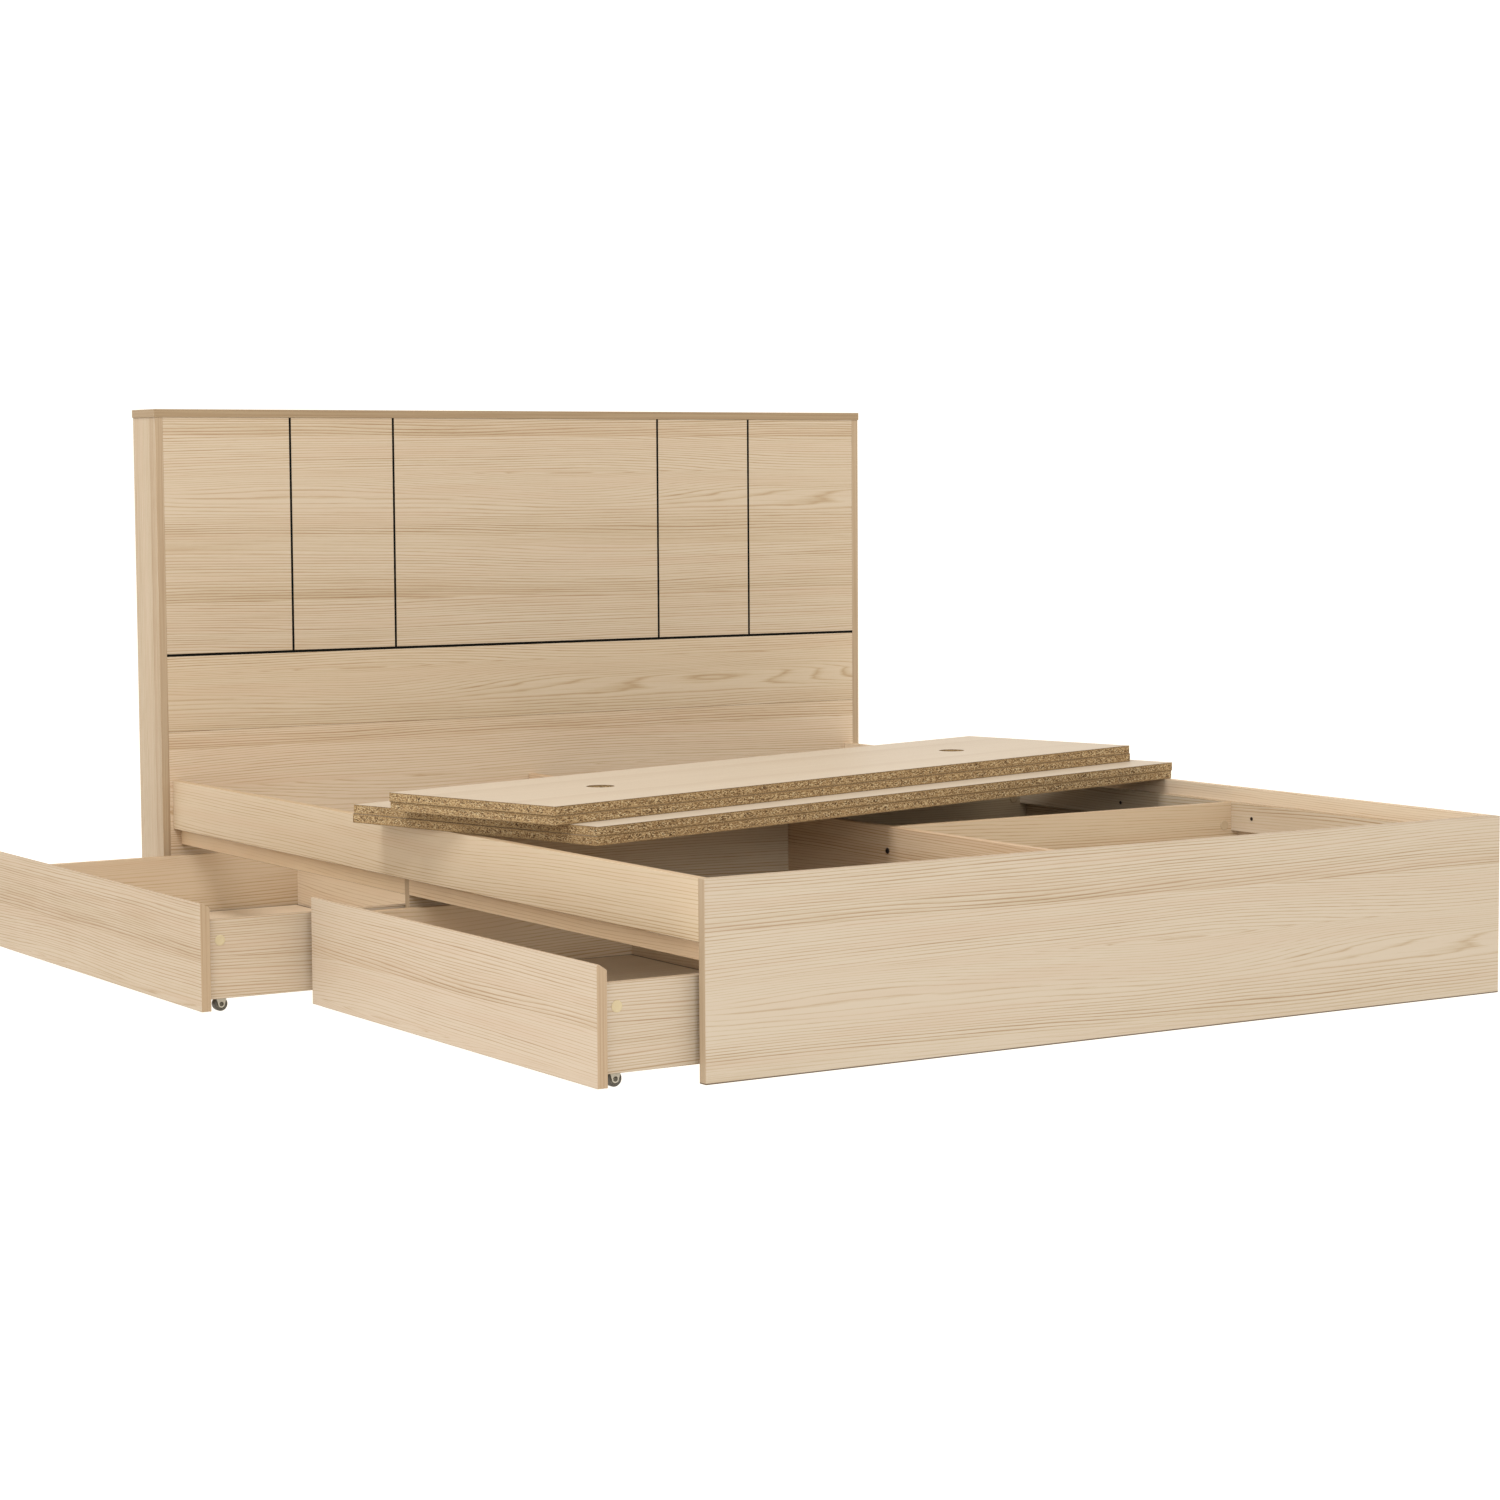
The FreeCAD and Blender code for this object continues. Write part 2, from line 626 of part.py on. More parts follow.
def build_drawer(name, middle):
    """One drawer: front, box, cam fittings, screws and four fixed casters."""
    outer = f"-half_width - {name}_pull"
    behind = f"({outer} + front_thickness)"
    level = "side_floor_gap"
    kit = {"fittings": [], "covers": []}
    screws = []
    for end, face, sign in (("foot", f"{middle} - half_box", "-"), ("head", f"{middle} + half_box", "+")):
        side = f"{name}_side_{end}"
        lock(kit, side, [name + "_front"], "X", behind, "-", "Y", face, sign, "drawer_cam_height",
             inset="drawer_cam_inset")
        for row, height in (("low", f"{level} + back_screw_inset"),
                            ("high", f"{level} + drawer_side_height - back_screw_inset")):
            build_back_screw(f"{name}_back_screw_{end}_{row}", [side, name + "_back"], face, sign,
                             f"{behind} + drawer_depth - half_board", height, screws)
        start = face if end == "foot" else f"{face} - board_thickness"
        board(side, ("drawer_depth", "board_thickness", "drawer_side_height"), (behind, start, level))
    build_front(name, outer, middle)
    board(f"{name}_back", ("board_thickness", "2 * half_space", "drawer_side_height"),
          (f"{behind} + drawer_space", f"{middle} - half_space", level))
    group(f"{name}_cam_fittings", kit["fittings"])
    group(f"{name}_cam_covers", kit["covers"])
    group(f"{name}_back_screws", screws)
    brackets = []
    axles = []
    plate_screws = []
    for depth, x in (("front", f"{behind} + caster_inset_x"),
                     ("rear", f"{behind} + drawer_space - caster_inset_x")):
        for end, y in (("foot", f"({middle} - half_space + caster_inset_y + cheek_outer)"),
                       ("head", f"({middle} + half_space - caster_inset_y - cheek_outer)")):
            bracket, axle, small = build_caster(f"{name}_caster_{depth}_{end}", f"{name}_floor", x, y)
            brackets.append(bracket)
            axles.append(axle)
            plate_screws += small
            build_wheel(f"{name}_wheel_{depth}_{end}", (x, y, "wheel_radius"))
    board(f"{name}_floor", ("drawer_space", "2 * half_space", "drawer_floor_thickness"),
          (behind, f"{middle} - half_space", "drawer_floor_level"))
    group(f"{name}_caster_brackets", brackets)
    group(f"{name}_caster_axles", axles)
    group(f"{name}_caster_screws", plate_screws)


def check(items):
    """Stop if any object failed, or a sub-part has no sound shape."""
    for item in items:
        if "Invalid" in item.State or "Error" in item.State:
            sys.exit(f"{item.Label} did not build: {item.State}")
    for item in nodes:
        if item.Shape.isNull() or not item.Shape.isValid():
            sys.exit(f"{item.Label} has no valid shape")


frame_kit = {"fittings": [], "covers": []}
headboard_kit = {"fittings": [], "covers": []}
side_screws = []
join_frame(frame_kit, side_screws)
join_headboard(headboard_kit)
build_frame()
build_headboard()
for name, kit in (("frame", frame_kit), ("headboard", headboard_kit)):
    group(f"{name}_cam_fittings", kit["fittings"])
    group(f"{name}_cam_covers", kit["covers"])
group("frame_side_screws", side_screws)
for number, (share, pair, slip) in enumerate(DECK_STACK, start=1):
    build_deck_board(number, share, pair, slip)
build_drawer("drawer_foot", "-front_middle")
build_drawer("drawer_head", "front_middle")
doc.recompute()
check(doc.Objects)

os.makedirs("parts", exist_ok=True)
for item in nodes:
    item.Shape.exportStep(f"parts/{item.Label}.step")
    print(item.Label, round(item.Shape.Volume), len(item.Shape.Solids))
print(len(nodes), "sub-parts")
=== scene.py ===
import json
import math

import bmesh
import bpy
from mathutils import Matrix, Vector

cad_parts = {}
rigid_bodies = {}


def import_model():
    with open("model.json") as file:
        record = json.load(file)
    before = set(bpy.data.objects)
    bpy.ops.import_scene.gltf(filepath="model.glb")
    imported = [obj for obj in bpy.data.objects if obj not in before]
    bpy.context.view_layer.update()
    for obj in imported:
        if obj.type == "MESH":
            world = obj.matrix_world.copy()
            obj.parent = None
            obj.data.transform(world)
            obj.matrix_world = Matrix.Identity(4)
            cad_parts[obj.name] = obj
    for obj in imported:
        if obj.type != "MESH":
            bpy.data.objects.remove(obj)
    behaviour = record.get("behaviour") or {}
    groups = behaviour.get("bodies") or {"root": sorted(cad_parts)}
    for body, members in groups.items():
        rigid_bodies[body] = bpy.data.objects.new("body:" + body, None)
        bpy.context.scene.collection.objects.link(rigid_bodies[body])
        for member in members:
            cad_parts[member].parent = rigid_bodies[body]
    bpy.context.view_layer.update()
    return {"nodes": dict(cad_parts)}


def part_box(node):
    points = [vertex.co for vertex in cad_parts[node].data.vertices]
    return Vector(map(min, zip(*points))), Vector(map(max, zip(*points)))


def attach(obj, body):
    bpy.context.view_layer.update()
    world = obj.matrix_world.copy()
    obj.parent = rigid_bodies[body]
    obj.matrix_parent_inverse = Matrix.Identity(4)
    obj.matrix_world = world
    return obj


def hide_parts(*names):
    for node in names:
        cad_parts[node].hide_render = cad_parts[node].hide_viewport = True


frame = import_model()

MM = 0.001
NODES = frame["nodes"]

# Nodes stand in columns of this many, this far apart.
COLUMN = 6
NODE_STEP = (180, -200)
# Noise lies between these levels nearly everywhere.
NOISE_SPAN = (0.3, 0.7)
FINE_ROUGHNESS = 0.6

# Colours are written as the photograph shows them. The surfaces are darker than that by
# this gain, because the studio's light brightens them again.
LIGHT_GAIN = 1.50

# The wood print repeats down a board like the real foil. Depths are measured from the
# sharp lower edge of its dark plank.
PRINT_PERIOD = 0.540
# depth, darkness of the plank
PRINT_TONES = (
    (-0.100, 0.22), (-0.060, 0.32), (-0.030, 0.46), (-0.004, 0.72), (-0.0005, 0.80),
    (0.0005, 0.12), (0.040, 0.08), (0.0765, 0.18),
    (0.0775, 0.22), (0.120, 0.20), (0.160, 0.30), (0.185, 0.44), (0.205, 0.62), (0.233, 0.72),
    (0.235, 0.26), (0.262, 0.22), (0.300, 0.36), (0.328, 0.60), (0.3365, 0.72),
    (0.3375, 0.24), (0.390, 0.18), (0.4395, 0.26),
)
# depth, how far the cathedral figure bends the grain lines (in units of FIGURE)
PRINT_FIGURE = (
    (-0.100, 0.06), (-0.040, 0.14), (-0.0005, 0.10), (0.0005, 0.02), (0.0765, 0.04),
    (0.0775, 1.00), (0.120, 0.95), (0.150, 0.30), (0.200, 0.22), (0.233, 0.10), (0.300, 0.08),
    (0.3365, 0.14), (0.3375, 0.02), (0.4395, 0.03),
)
# depth, strength of the grain lines
PRINT_LINES = (
    (-0.100, 0.80), (-0.030, 0.86), (-0.006, 0.94), (-0.0005, 1.00), (0.0005, 0.88), (0.0765, 0.84),
    (0.0775, 0.60), (0.150, 0.58), (0.166, 0.74), (0.200, 0.84), (0.209, 0.36), (0.233, 0.28),
    (0.235, 0.66), (0.300, 0.74), (0.3365, 0.90), (0.3375, 0.74), (0.4395, 0.78),
)
# depth at which a plank starts, its place in the noise, spacing of its grain lines
PRINT_PLANKS = ((-0.100, 0.15, 5.3 * MM), (0.000, 0.40, 5.0 * MM), (0.077, 0.62, 5.8 * MM),
                (0.337, 0.85, 5.1 * MM))
WIDEST_SPACING = 8 * MM
# each repeat and each plank has its own place in the noise and its own shift along the grain
REPEAT_STEP = 5.3
PLANK_STEP = 31.0
SHIFT_SHARE = 0.37
# how far each field bends the grain lines
DRIFT = 0.060
FIGURE = 0.160
UNEVEN = 11 * MM
RAGGED = 3.2 * MM
# The print's noise fields: cycles in a metre along and down the board, detail, roughness, offset
DRIFT_FIELD = (0.9, 3.0, 1.0, 0.4, 17.0)
FIGURE_FIELD = (1.15, 11.0, 0.8, 0.4, 0.0)
UNEVEN_FIELD = (0.45, 34.0, 1.0, 0.5, 21.0)
RAGGED_FIELD = (7.0, 110.0, 2.0, 0.5, 0.0)
FADE_FIELD = (1.6, 40.0, 2.5, 0.55, 3.0)
FIBRE_FIELD = (5.0, 420.0, 4.0, 0.65, 5.0)
CLOUD_FIELD = (1.0, 10.0, 2.0, 0.5, 7.0)
PORE_FIELD = (42.0, 1500.0, 1.0, 0.5, 9.0)
BLUSH_FIELD = (1.6, 46.0, 2.0, 0.5, 11.0)
# place between two grain lines, darkness
LINE_PROFILE = ((0.0, 0.0), (0.42, 0.10), (0.60, 0.50), (0.71, 1.0), (0.81, 0.40), (0.90, 0.0))
# a few lines are much stronger than the rest
LINE_RARITY = 4.0
LINE_STRENGTHS = (0.92, 1.35)
# each range is the lowest and highest value that counts, and what these two become
FADE_RANGE = (0.30, 0.60, 0.70, 1.0)
PORE_RANGE = (0.62, 0.72, 0.0, 1.0)
PLANK_RANGE = (0.3, 0.7, 0.28, 0.58)
BLUSH_RANGE = (0.46, 0.72, 0.0, 0.32)
# how much each of them darkens the print, and the tone that leaves it as it is
LINE_DEPTH = 1.06
FIBRE_DEPTH = 1.10
CLOUD_DEPTH = 0.20
PORE_DEPTH = 0.16
EVEN_TONE = 0.22
# relief of the fibres and the pores
FIBRE_RISE = 0.3
PORE_DIP = 0.7
# darkness, colour
ASH_RAMP = (
    (0.00, (229, 210, 184)), (0.25, (219, 198, 168)), (0.50, (206, 181, 147)),
    (0.75, (193, 163, 127)), (1.00, (176, 143, 106)))
BLUSH = (222, 193, 164)
CREAM = (229, 210, 185)

# Particle board: chips in a metre along x, y and z, in the middle and in the denser shell
COARSE_CHIPS = (330, 330, 700)
FINE_CHIPS = (520, 520, 1500)
# brightness, colour
CHIP_RAMP = (
    (0.00, (72, 52, 34)), (0.12, (110, 84, 56)), (0.30, (158, 126, 88)),
    (0.60, (198, 166, 118)), (0.82, (230, 201, 152)), (1.00, (248, 228, 184)))
GAP_RANGE = (0.50, 0.95, 0.0, 0.6)
GAP_COLOUR = (96, 70, 42)
SHELL_RANGE = (0.50, 0.80, 0.0, 1.0)
SHELL_BLEND = 0.35
SHELL_COLOUR = (166, 136, 94)
PATCHES_IN_A_METRE = 18.0
PATCH_RANGE = (0.4, 0.7, 0.0, 0.20)
PATCH_COLOUR = (196, 160, 108)
RIM_RANGE = (0.87, 0.93, 0.0, 0.74)
RIM_AND_SHADE_COLOUR = (108, 84, 54)
GAP_DIP = 0.6

# Painted light and shade: some boards are drawn lighter or darker than the print's usual colour, to
# stand in for how much light falls on them: red, green, blue
LIGHT_SHADE_CASTS = {
    "footboard": (0.93, 0.96, 1.01),
    "rail_left": (1.08, 1.06, 1.01),
    "side_panel_right": (1.24, 1.24, 1.24),
    "apron_foot": (1.30, 1.21, 1.10),
    "apron_head": (1.30, 1.22, 1.10),
    "center_spine": (1.09, 1.00, 0.92),
    "cross_board_foot": (1.03, 0.98, 0.90),
    "cross_board_head": (1.00, 1.00, 0.96),
    "headboard_post_left": (0.95, 0.96, 0.98),
    "headboard_post_right": (0.95, 0.96, 0.98),
    "headboard_cap": (0.76, 0.74, 0.69),
    "headboard_middle_panel": (1.03, 1.01, 0.97),
    "headboard_lower_panel": (1.12, 1.09, 1.07),
    "drawer_foot_front": (0.97, 0.97, 1.00),
    "drawer_foot_side_foot": (0.94, 0.96, 1.01),
    "drawer_foot_side_head": (1.14, 1.09, 1.03),
    "drawer_foot_back": (1.20, 1.19, 1.16),
    "drawer_foot_floor": (1.20, 1.20, 1.20),
    "drawer_head_front": (0.93, 0.92, 0.92),
    "drawer_head_side_foot": (0.95, 0.95, 0.97),
    "drawer_head_side_head": (1.12, 1.08, 1.03),
    "drawer_head_back": (1.38, 1.41, 1.43),
    "drawer_head_floor": (1.12, 1.10, 1.08),
}

# Thin lines on the boards: the edge band's end, painted shade where a board meets its neighbours,
# painted shadow where a board meets the floor
SEAM_INSET = 1.1 * MM
SEAM_WIDTH = 0.35 * MM
SEAM_BLEND = 0.30
SEAM_COLOUR = (160, 130, 98)
JOINT_SHADE_WIDTH = 4 * MM
JOINT_SHADE_COLOUR = (74, 54, 34)
CONTACT_LINE = 2.8 * MM
CONTACT_FULL_SHARE = 0.6
CONTACT_BLEND = 0.9
CONTACT_SHADOW_COLOUR = (84, 64, 48)
# Edge bands: streaks in a metre along and across the board, and through its thickness
BAND_STREAKS = (2.5, 2.5, 420.0)
BAND_RAMP = ((0.25, (184, 154, 119)), (0.5, (204, 177, 143)), (0.78, (217, 193, 161)))
# A surface looks along an axis, or down, when its normal reaches past these.
FACES_ALONG = 0.7
FACES_DOWN = -0.35
BOARD_GLOSS = 0.35
GLOSS_IN_A_METRE = 9.0
BOARD_ROUGHNESS = (0.46, 0.58)
PRINT_BUMP_STRENGTH = 0.35
PRINT_BUMP = 0.12 * MM


class Net:
    """The node tree of a material or group, with short calls to add nodes to it."""

    def __init__(self, tree):
        self.tree = tree
        self.count = 0

    def add(self, kind, inputs=None, **settings):
        """A new node with its settings made and its inputs fed."""
        node = self.tree.nodes.new(kind)
        across, down = divmod(self.count, COLUMN)
        node.location = (NODE_STEP[0] * across, NODE_STEP[1] * down)
        self.count += 1
        for name, value in settings.items():
            setattr(node, name, value)
        for key, value in (inputs or {}).items():
            self.feed(node.inputs[key], value)
        return node

    def feed(self, socket, value):
        """Link a socket to another one, or set its value."""
        if isinstance(value, bpy.types.NodeSocket):
            self.tree.links.new(value, socket)
        else:
            socket.default_value = value

    def math(self, operation, *values):
        return self.add("ShaderNodeMath", dict(enumerate(values)), operation=operation).outputs[0]

    def scale(self, vector, factors):
        node = self.add("ShaderNodeVectorMath", {0: vector, 1: factors}, operation="MULTIPLY")
        return node.outputs[0]

    def join(self, x, y, z):
        return self.add("ShaderNodeCombineXYZ", {0: x, 1: y, 2: z}).outputs[0]

    def split(self, vector):
        return self.add("ShaderNodeSeparateXYZ", {0: vector}).outputs

    def noise(self, vector, scale=1.0, detail=3.0, roughness=0.5):
        """Noise with this many cycles in a metre."""
        node = self.add("ShaderNodeTexNoise", {
            "Vector": vector, "Scale": scale, "Detail": detail, "Roughness": roughness})
        return node.outputs[0]

    def ramp(self, value, stops, mode="LINEAR"):
        """A colour or grey level that follows the value along the stops."""
        node = self.add("ShaderNodeValToRGB", {0: value})
        ramp = node.color_ramp
        ramp.interpolation = mode
        while len(ramp.elements) < len(stops):
            ramp.elements.new(1.0)
        for element, (place, colour) in zip(ramp.elements, stops):
            element.position = place
            element.color = colour if isinstance(colour, tuple) else (colour, colour, colour, 1)
        return node.outputs[0]

    def blend(self, factor, first, second, mode="MIX"):
        """Two colours blended. The node's colour sockets are its seventh and eighth."""
        node = self.add("ShaderNodeMix", {0: factor, 6: first, 7: second}, data_type="RGBA",
                        blend_type=mode)
        return node.outputs[2]

    def mix(self, factor, first, second):
        """Two numbers blended. The node's number sockets are its third and fourth."""
        return self.add("ShaderNodeMix", {0: factor, 2: first, 3: second}).outputs[0]

    def spread(self, value, low, high, to_low, to_high):
        """A value mapped from one range to another, and held at its ends."""
        node = self.add("ShaderNodeMapRange", {0: value, 1: low, 2: high, 3: to_low, 4: to_high})
        return node.outputs[0]


def tint(red, green, blue):
    """A linear colour from the usual 0 to 255 levels."""
    def linear(level):
        share = level / 255
        return share / 12.92 if share <= 0.04045 else ((share + 0.055) / 1.055) ** 2.4
    return (linear(red), linear(green), linear(blue), 1)


def seen(red, green, blue):
    """The surface colour that the studio's light brings to the levels given."""
    return tuple(part / LIGHT_GAIN for part in tint(red, green, blue)[:3]) + (1,)


def seen_ramp(stops):
    """Stops of a colour ramp whose colours are written as the photograph shows them."""
    return [(place, seen(*level)) for place, level in stops]


def along_print(stops):
    """Stops in depth as stops in shares of the print's period."""
    first = stops[0][0]
    return [((depth - first) / PRINT_PERIOD, level) for depth, level in stops]


def group(name, inputs, outputs):
    """An empty node group with its input and output sockets."""
    tree = bpy.data.node_groups.new(name, "ShaderNodeTree")
    for socket, kind in inputs:
        tree.interface.new_socket(socket, in_out="INPUT", socket_type=kind)
    for socket, kind in outputs:
        tree.interface.new_socket(socket, in_out="OUTPUT", socket_type=kind)
    net = Net(tree)
    return net, net.add("NodeGroupInput").outputs, net.add("NodeGroupOutput").inputs


def make_print_group():
    """The ash print: x runs along the grain, y is the depth down the print."""
    net, given, out = group("ash_print", [("Place", "NodeSocketVector"), ("Tone", "NodeSocketFloat")],
                            [("Color", "NodeSocketColor"), ("Height", "NodeSocketFloat")])
    x, depth, _ = net.split(given["Place"])
    start = PRINT_TONES[0][0]
    shifted = net.math("DIVIDE", net.math("SUBTRACT", depth, start), PRINT_PERIOD)
    repeat = net.math("FLOOR", shifted)
    share = net.math("SUBTRACT", shifted, repeat)
    tone = net.ramp(share, along_print(PRINT_TONES))
    wave = net.ramp(share, along_print(PRINT_FIGURE))
    firm = net.ramp(share, along_print(PRINT_LINES))
    plank = net.ramp(share, along_print([stop[:2] for stop in PRINT_PLANKS]), "CONSTANT")
    spacings = [(edge, gap / WIDEST_SPACING) for edge, _, gap in PRINT_PLANKS]
    spacing = net.math("MULTIPLY", net.ramp(share, along_print(spacings), "CONSTANT"), WIDEST_SPACING)
    apart = net.math("MULTIPLY_ADD", repeat, REPEAT_STEP, net.math("MULTIPLY", plank, PLANK_STEP))
    x = net.math("ADD", x, net.math("MULTIPLY", apart, SHIFT_SHARE))

    def streaks(field):
        along, down, detail, roughness, offset = field
        spot = net.join(net.math("MULTIPLY", x, along), net.math("MULTIPLY", depth, down),
                        net.math("ADD", apart, offset))
        return net.noise(spot, detail=detail, roughness=roughness)

    # the lines drift together, and a steeper field draws the cathedral figure
    drift = net.math("MULTIPLY", net.math("SUBTRACT", streaks(DRIFT_FIELD), 0.5), DRIFT)
    figure = net.math("SUBTRACT", streaks(FIGURE_FIELD), 0.5)
    figure = net.math("MULTIPLY", figure, net.math("MULTIPLY", wave, FIGURE))
    uneven = net.math("MULTIPLY", streaks(UNEVEN_FIELD), UNEVEN)
    ragged = net.math("MULTIPLY_ADD", streaks(RAGGED_FIELD), RAGGED, uneven)
    bent = net.math("ADD", net.math("ADD", depth, drift), net.math("ADD", figure, ragged))
    bent = net.math("DIVIDE", bent, spacing)
    line = net.ramp(net.math("FRACT", bent), LINE_PROFILE)
    # every line has a strength of its own, and fades in and out along the board
    own = net.add("ShaderNodeTexWhiteNoise", {
        "W": net.math("ADD", net.math("FLOOR", bent), apart)}, noise_dimensions="1D").outputs["Value"]
    own = net.spread(net.math("POWER", own, LINE_RARITY), 0.0, 1.0, *LINE_STRENGTHS)
    fade = net.spread(streaks(FADE_FIELD), *FADE_RANGE)
    strength = net.math("MULTIPLY", net.math("MULTIPLY", fade, own),
                        net.math("MULTIPLY", firm, LINE_DEPTH))
    fibre = streaks(FIBRE_FIELD)
    cloud = streaks(CLOUD_FIELD)
    pore = net.spread(streaks(PORE_FIELD), *PORE_RANGE)
    dark = net.math("MULTIPLY", tone, net.spread(cloud, *PLANK_RANGE))
    dark = net.math("ADD", dark, net.math("SUBTRACT", given["Tone"], EVEN_TONE))
    dark = net.math("MULTIPLY_ADD", line, strength, dark)
    dark = net.math("MULTIPLY_ADD", net.math("SUBTRACT", fibre, 0.5), FIBRE_DEPTH, dark)
    dark = net.math("MULTIPLY_ADD", net.math("SUBTRACT", cloud, 0.5), CLOUD_DEPTH, dark)
    dark = net.math("MULTIPLY_ADD", pore, PORE_DEPTH, dark)
    colour = net.ramp(dark, seen_ramp(ASH_RAMP))
    blush = net.spread(streaks(BLUSH_FIELD), *BLUSH_RANGE)
    colour = net.blend(blush, colour, seen(*BLUSH))
    net.feed(out["Color"], colour)
    height = net.math("SUBTRACT", net.math("MULTIPLY", fibre, FIBRE_RISE),
                      net.math("MULTIPLY", pore, PORE_DIP))
    net.feed(out["Height"], height)
    return net.tree


def make_core_group():
    """Raw particle board: chips that lie flat, finer and denser towards both faces."""
    net, given, out = group("particle_core",
                            [("Place", "NodeSocketVector"), ("Share", "NodeSocketFloat")],
                            [("Color", "NodeSocketColor"), ("Height", "NodeSocketFloat")])
    place = given["Place"]

    def chips(scale):
        node = net.add("ShaderNodeTexVoronoi", {
            "Vector": net.scale(place, scale), "Scale": 1.0, "Randomness": 1.0})
        level = net.split(node.outputs["Color"])[0]
        return level, node.outputs["Distance"]

    coarse, coarse_gap = chips(COARSE_CHIPS)
    fine, fine_gap = chips(FINE_CHIPS)
    from_middle = net.math("ABSOLUTE", net.math("SUBTRACT", given["Share"], 0.5))
    off_middle = net.math("MULTIPLY", from_middle, 2.0)
    shell = net.spread(off_middle, *SHELL_RANGE)
    level = net.mix(shell, coarse, fine)
    gap = net.mix(shell, coarse_gap, fine_gap)
    colour = net.ramp(level, seen_ramp(CHIP_RAMP))
    colour = net.blend(net.spread(gap, *GAP_RANGE), colour, seen(*GAP_COLOUR))
    colour = net.blend(net.math("MULTIPLY", shell, SHELL_BLEND), colour, seen(*SHELL_COLOUR))
    patch = net.noise(place, scale=PATCHES_IN_A_METRE)
    colour = net.blend(net.spread(patch, *PATCH_RANGE), colour, seen(*PATCH_COLOUR))
    # the pressed foil ends in a thin dark line at both faces, darkened beyond the foil's own line as
    # painted shade along the edges and between stacked boards
    rim = net.spread(off_middle, *RIM_RANGE)
    colour = net.blend(rim, colour, seen(*RIM_AND_SHADE_COLOUR))
    net.feed(out["Color"], colour)
    net.feed(out["Height"], net.math("SUBTRACT", level, net.math("MULTIPLY", gap, GAP_DIP)))
    return net.tree


PRINT = make_print_group()
CORE = make_core_group()


def material(name):
    """A new material with its net and its shader."""
    made = bpy.data.materials.new(name)
    made.use_nodes = True
    net = Net(made.node_tree)
    return made, net, made.node_tree.nodes["Principled BSDF"]


def use_group(net, tree, inputs):
    """The outputs of a group whose inputs are fed."""
    node = net.add("ShaderNodeGroup", node_tree=tree)
    for key, value in inputs.items():
        net.feed(node.inputs[key], value)
    return node.outputs


def bump(net, shader, height, strength, depth):
    """Small relief on the shader's surface."""
    node = net.add("ShaderNodeBump", {"Height": height, "Strength": strength, "Distance": depth})
    net.feed(shader.inputs["Normal"], node.outputs[0])


def paint(name, made):
    """Give a node's object the material alone."""
    slots = NODES[name].data.materials
    slots.clear()
    slots.append(made)


def axis_masks(net):
    """For each axis, 1 where the surface looks along it, and the surface's normal."""
    normal = net.split(net.add("ShaderNodeTexCoord").outputs["Normal"])
    masks = [net.math("GREATER_THAN", net.math("ABSOLUTE", part), FACES_ALONG) for part in normal]
    return masks, normal


def foil_lines(net, face, border, joint_shade):
    """A face with a thin line where its edge band ends, and a band of painted shade round it where it
    meets its neighbours.
    """
    seam = net.math("ABSOLUTE", net.math("SUBTRACT", border, SEAM_INSET))
    seam = net.spread(seam, 0.0, SEAM_WIDTH, SEAM_BLEND, 0.0)
    face = net.blend(seam, face, seen(*SEAM_COLOUR))
    # painted shade: a dark band along the border, darkest next to the neighbouring boards
    if joint_shade:
        shade = net.spread(border, JOINT_SHADE_WIDTH, 2 * JOINT_SHADE_WIDTH, joint_shade, 0.0)
        face = net.blend(shade, face, seen(*JOINT_SHADE_COLOUR))
    return face


def edge_band(net, place):
    """Plain foil with fine streaks. Its place is along, across and through the board."""
    spot = [net.math("MULTIPLY", part, streaks) for part, streaks in zip(place, BAND_STREAKS)]
    streak = net.noise(net.join(*spot), roughness=FINE_ROUGHNESS)
    return net.ramp(streak, seen_ramp(BAND_RAMP))


def contact_shadow_line(net, height, colour):
    """The colour with a thin dark line of painted shadow where the board meets the floor."""
    line = net.spread(height, CONTACT_FULL_SHARE * CONTACT_LINE, CONTACT_LINE, CONTACT_BLEND, 0.0)
    return net.blend(line, colour, seen(*CONTACT_SHADOW_COLOUR))


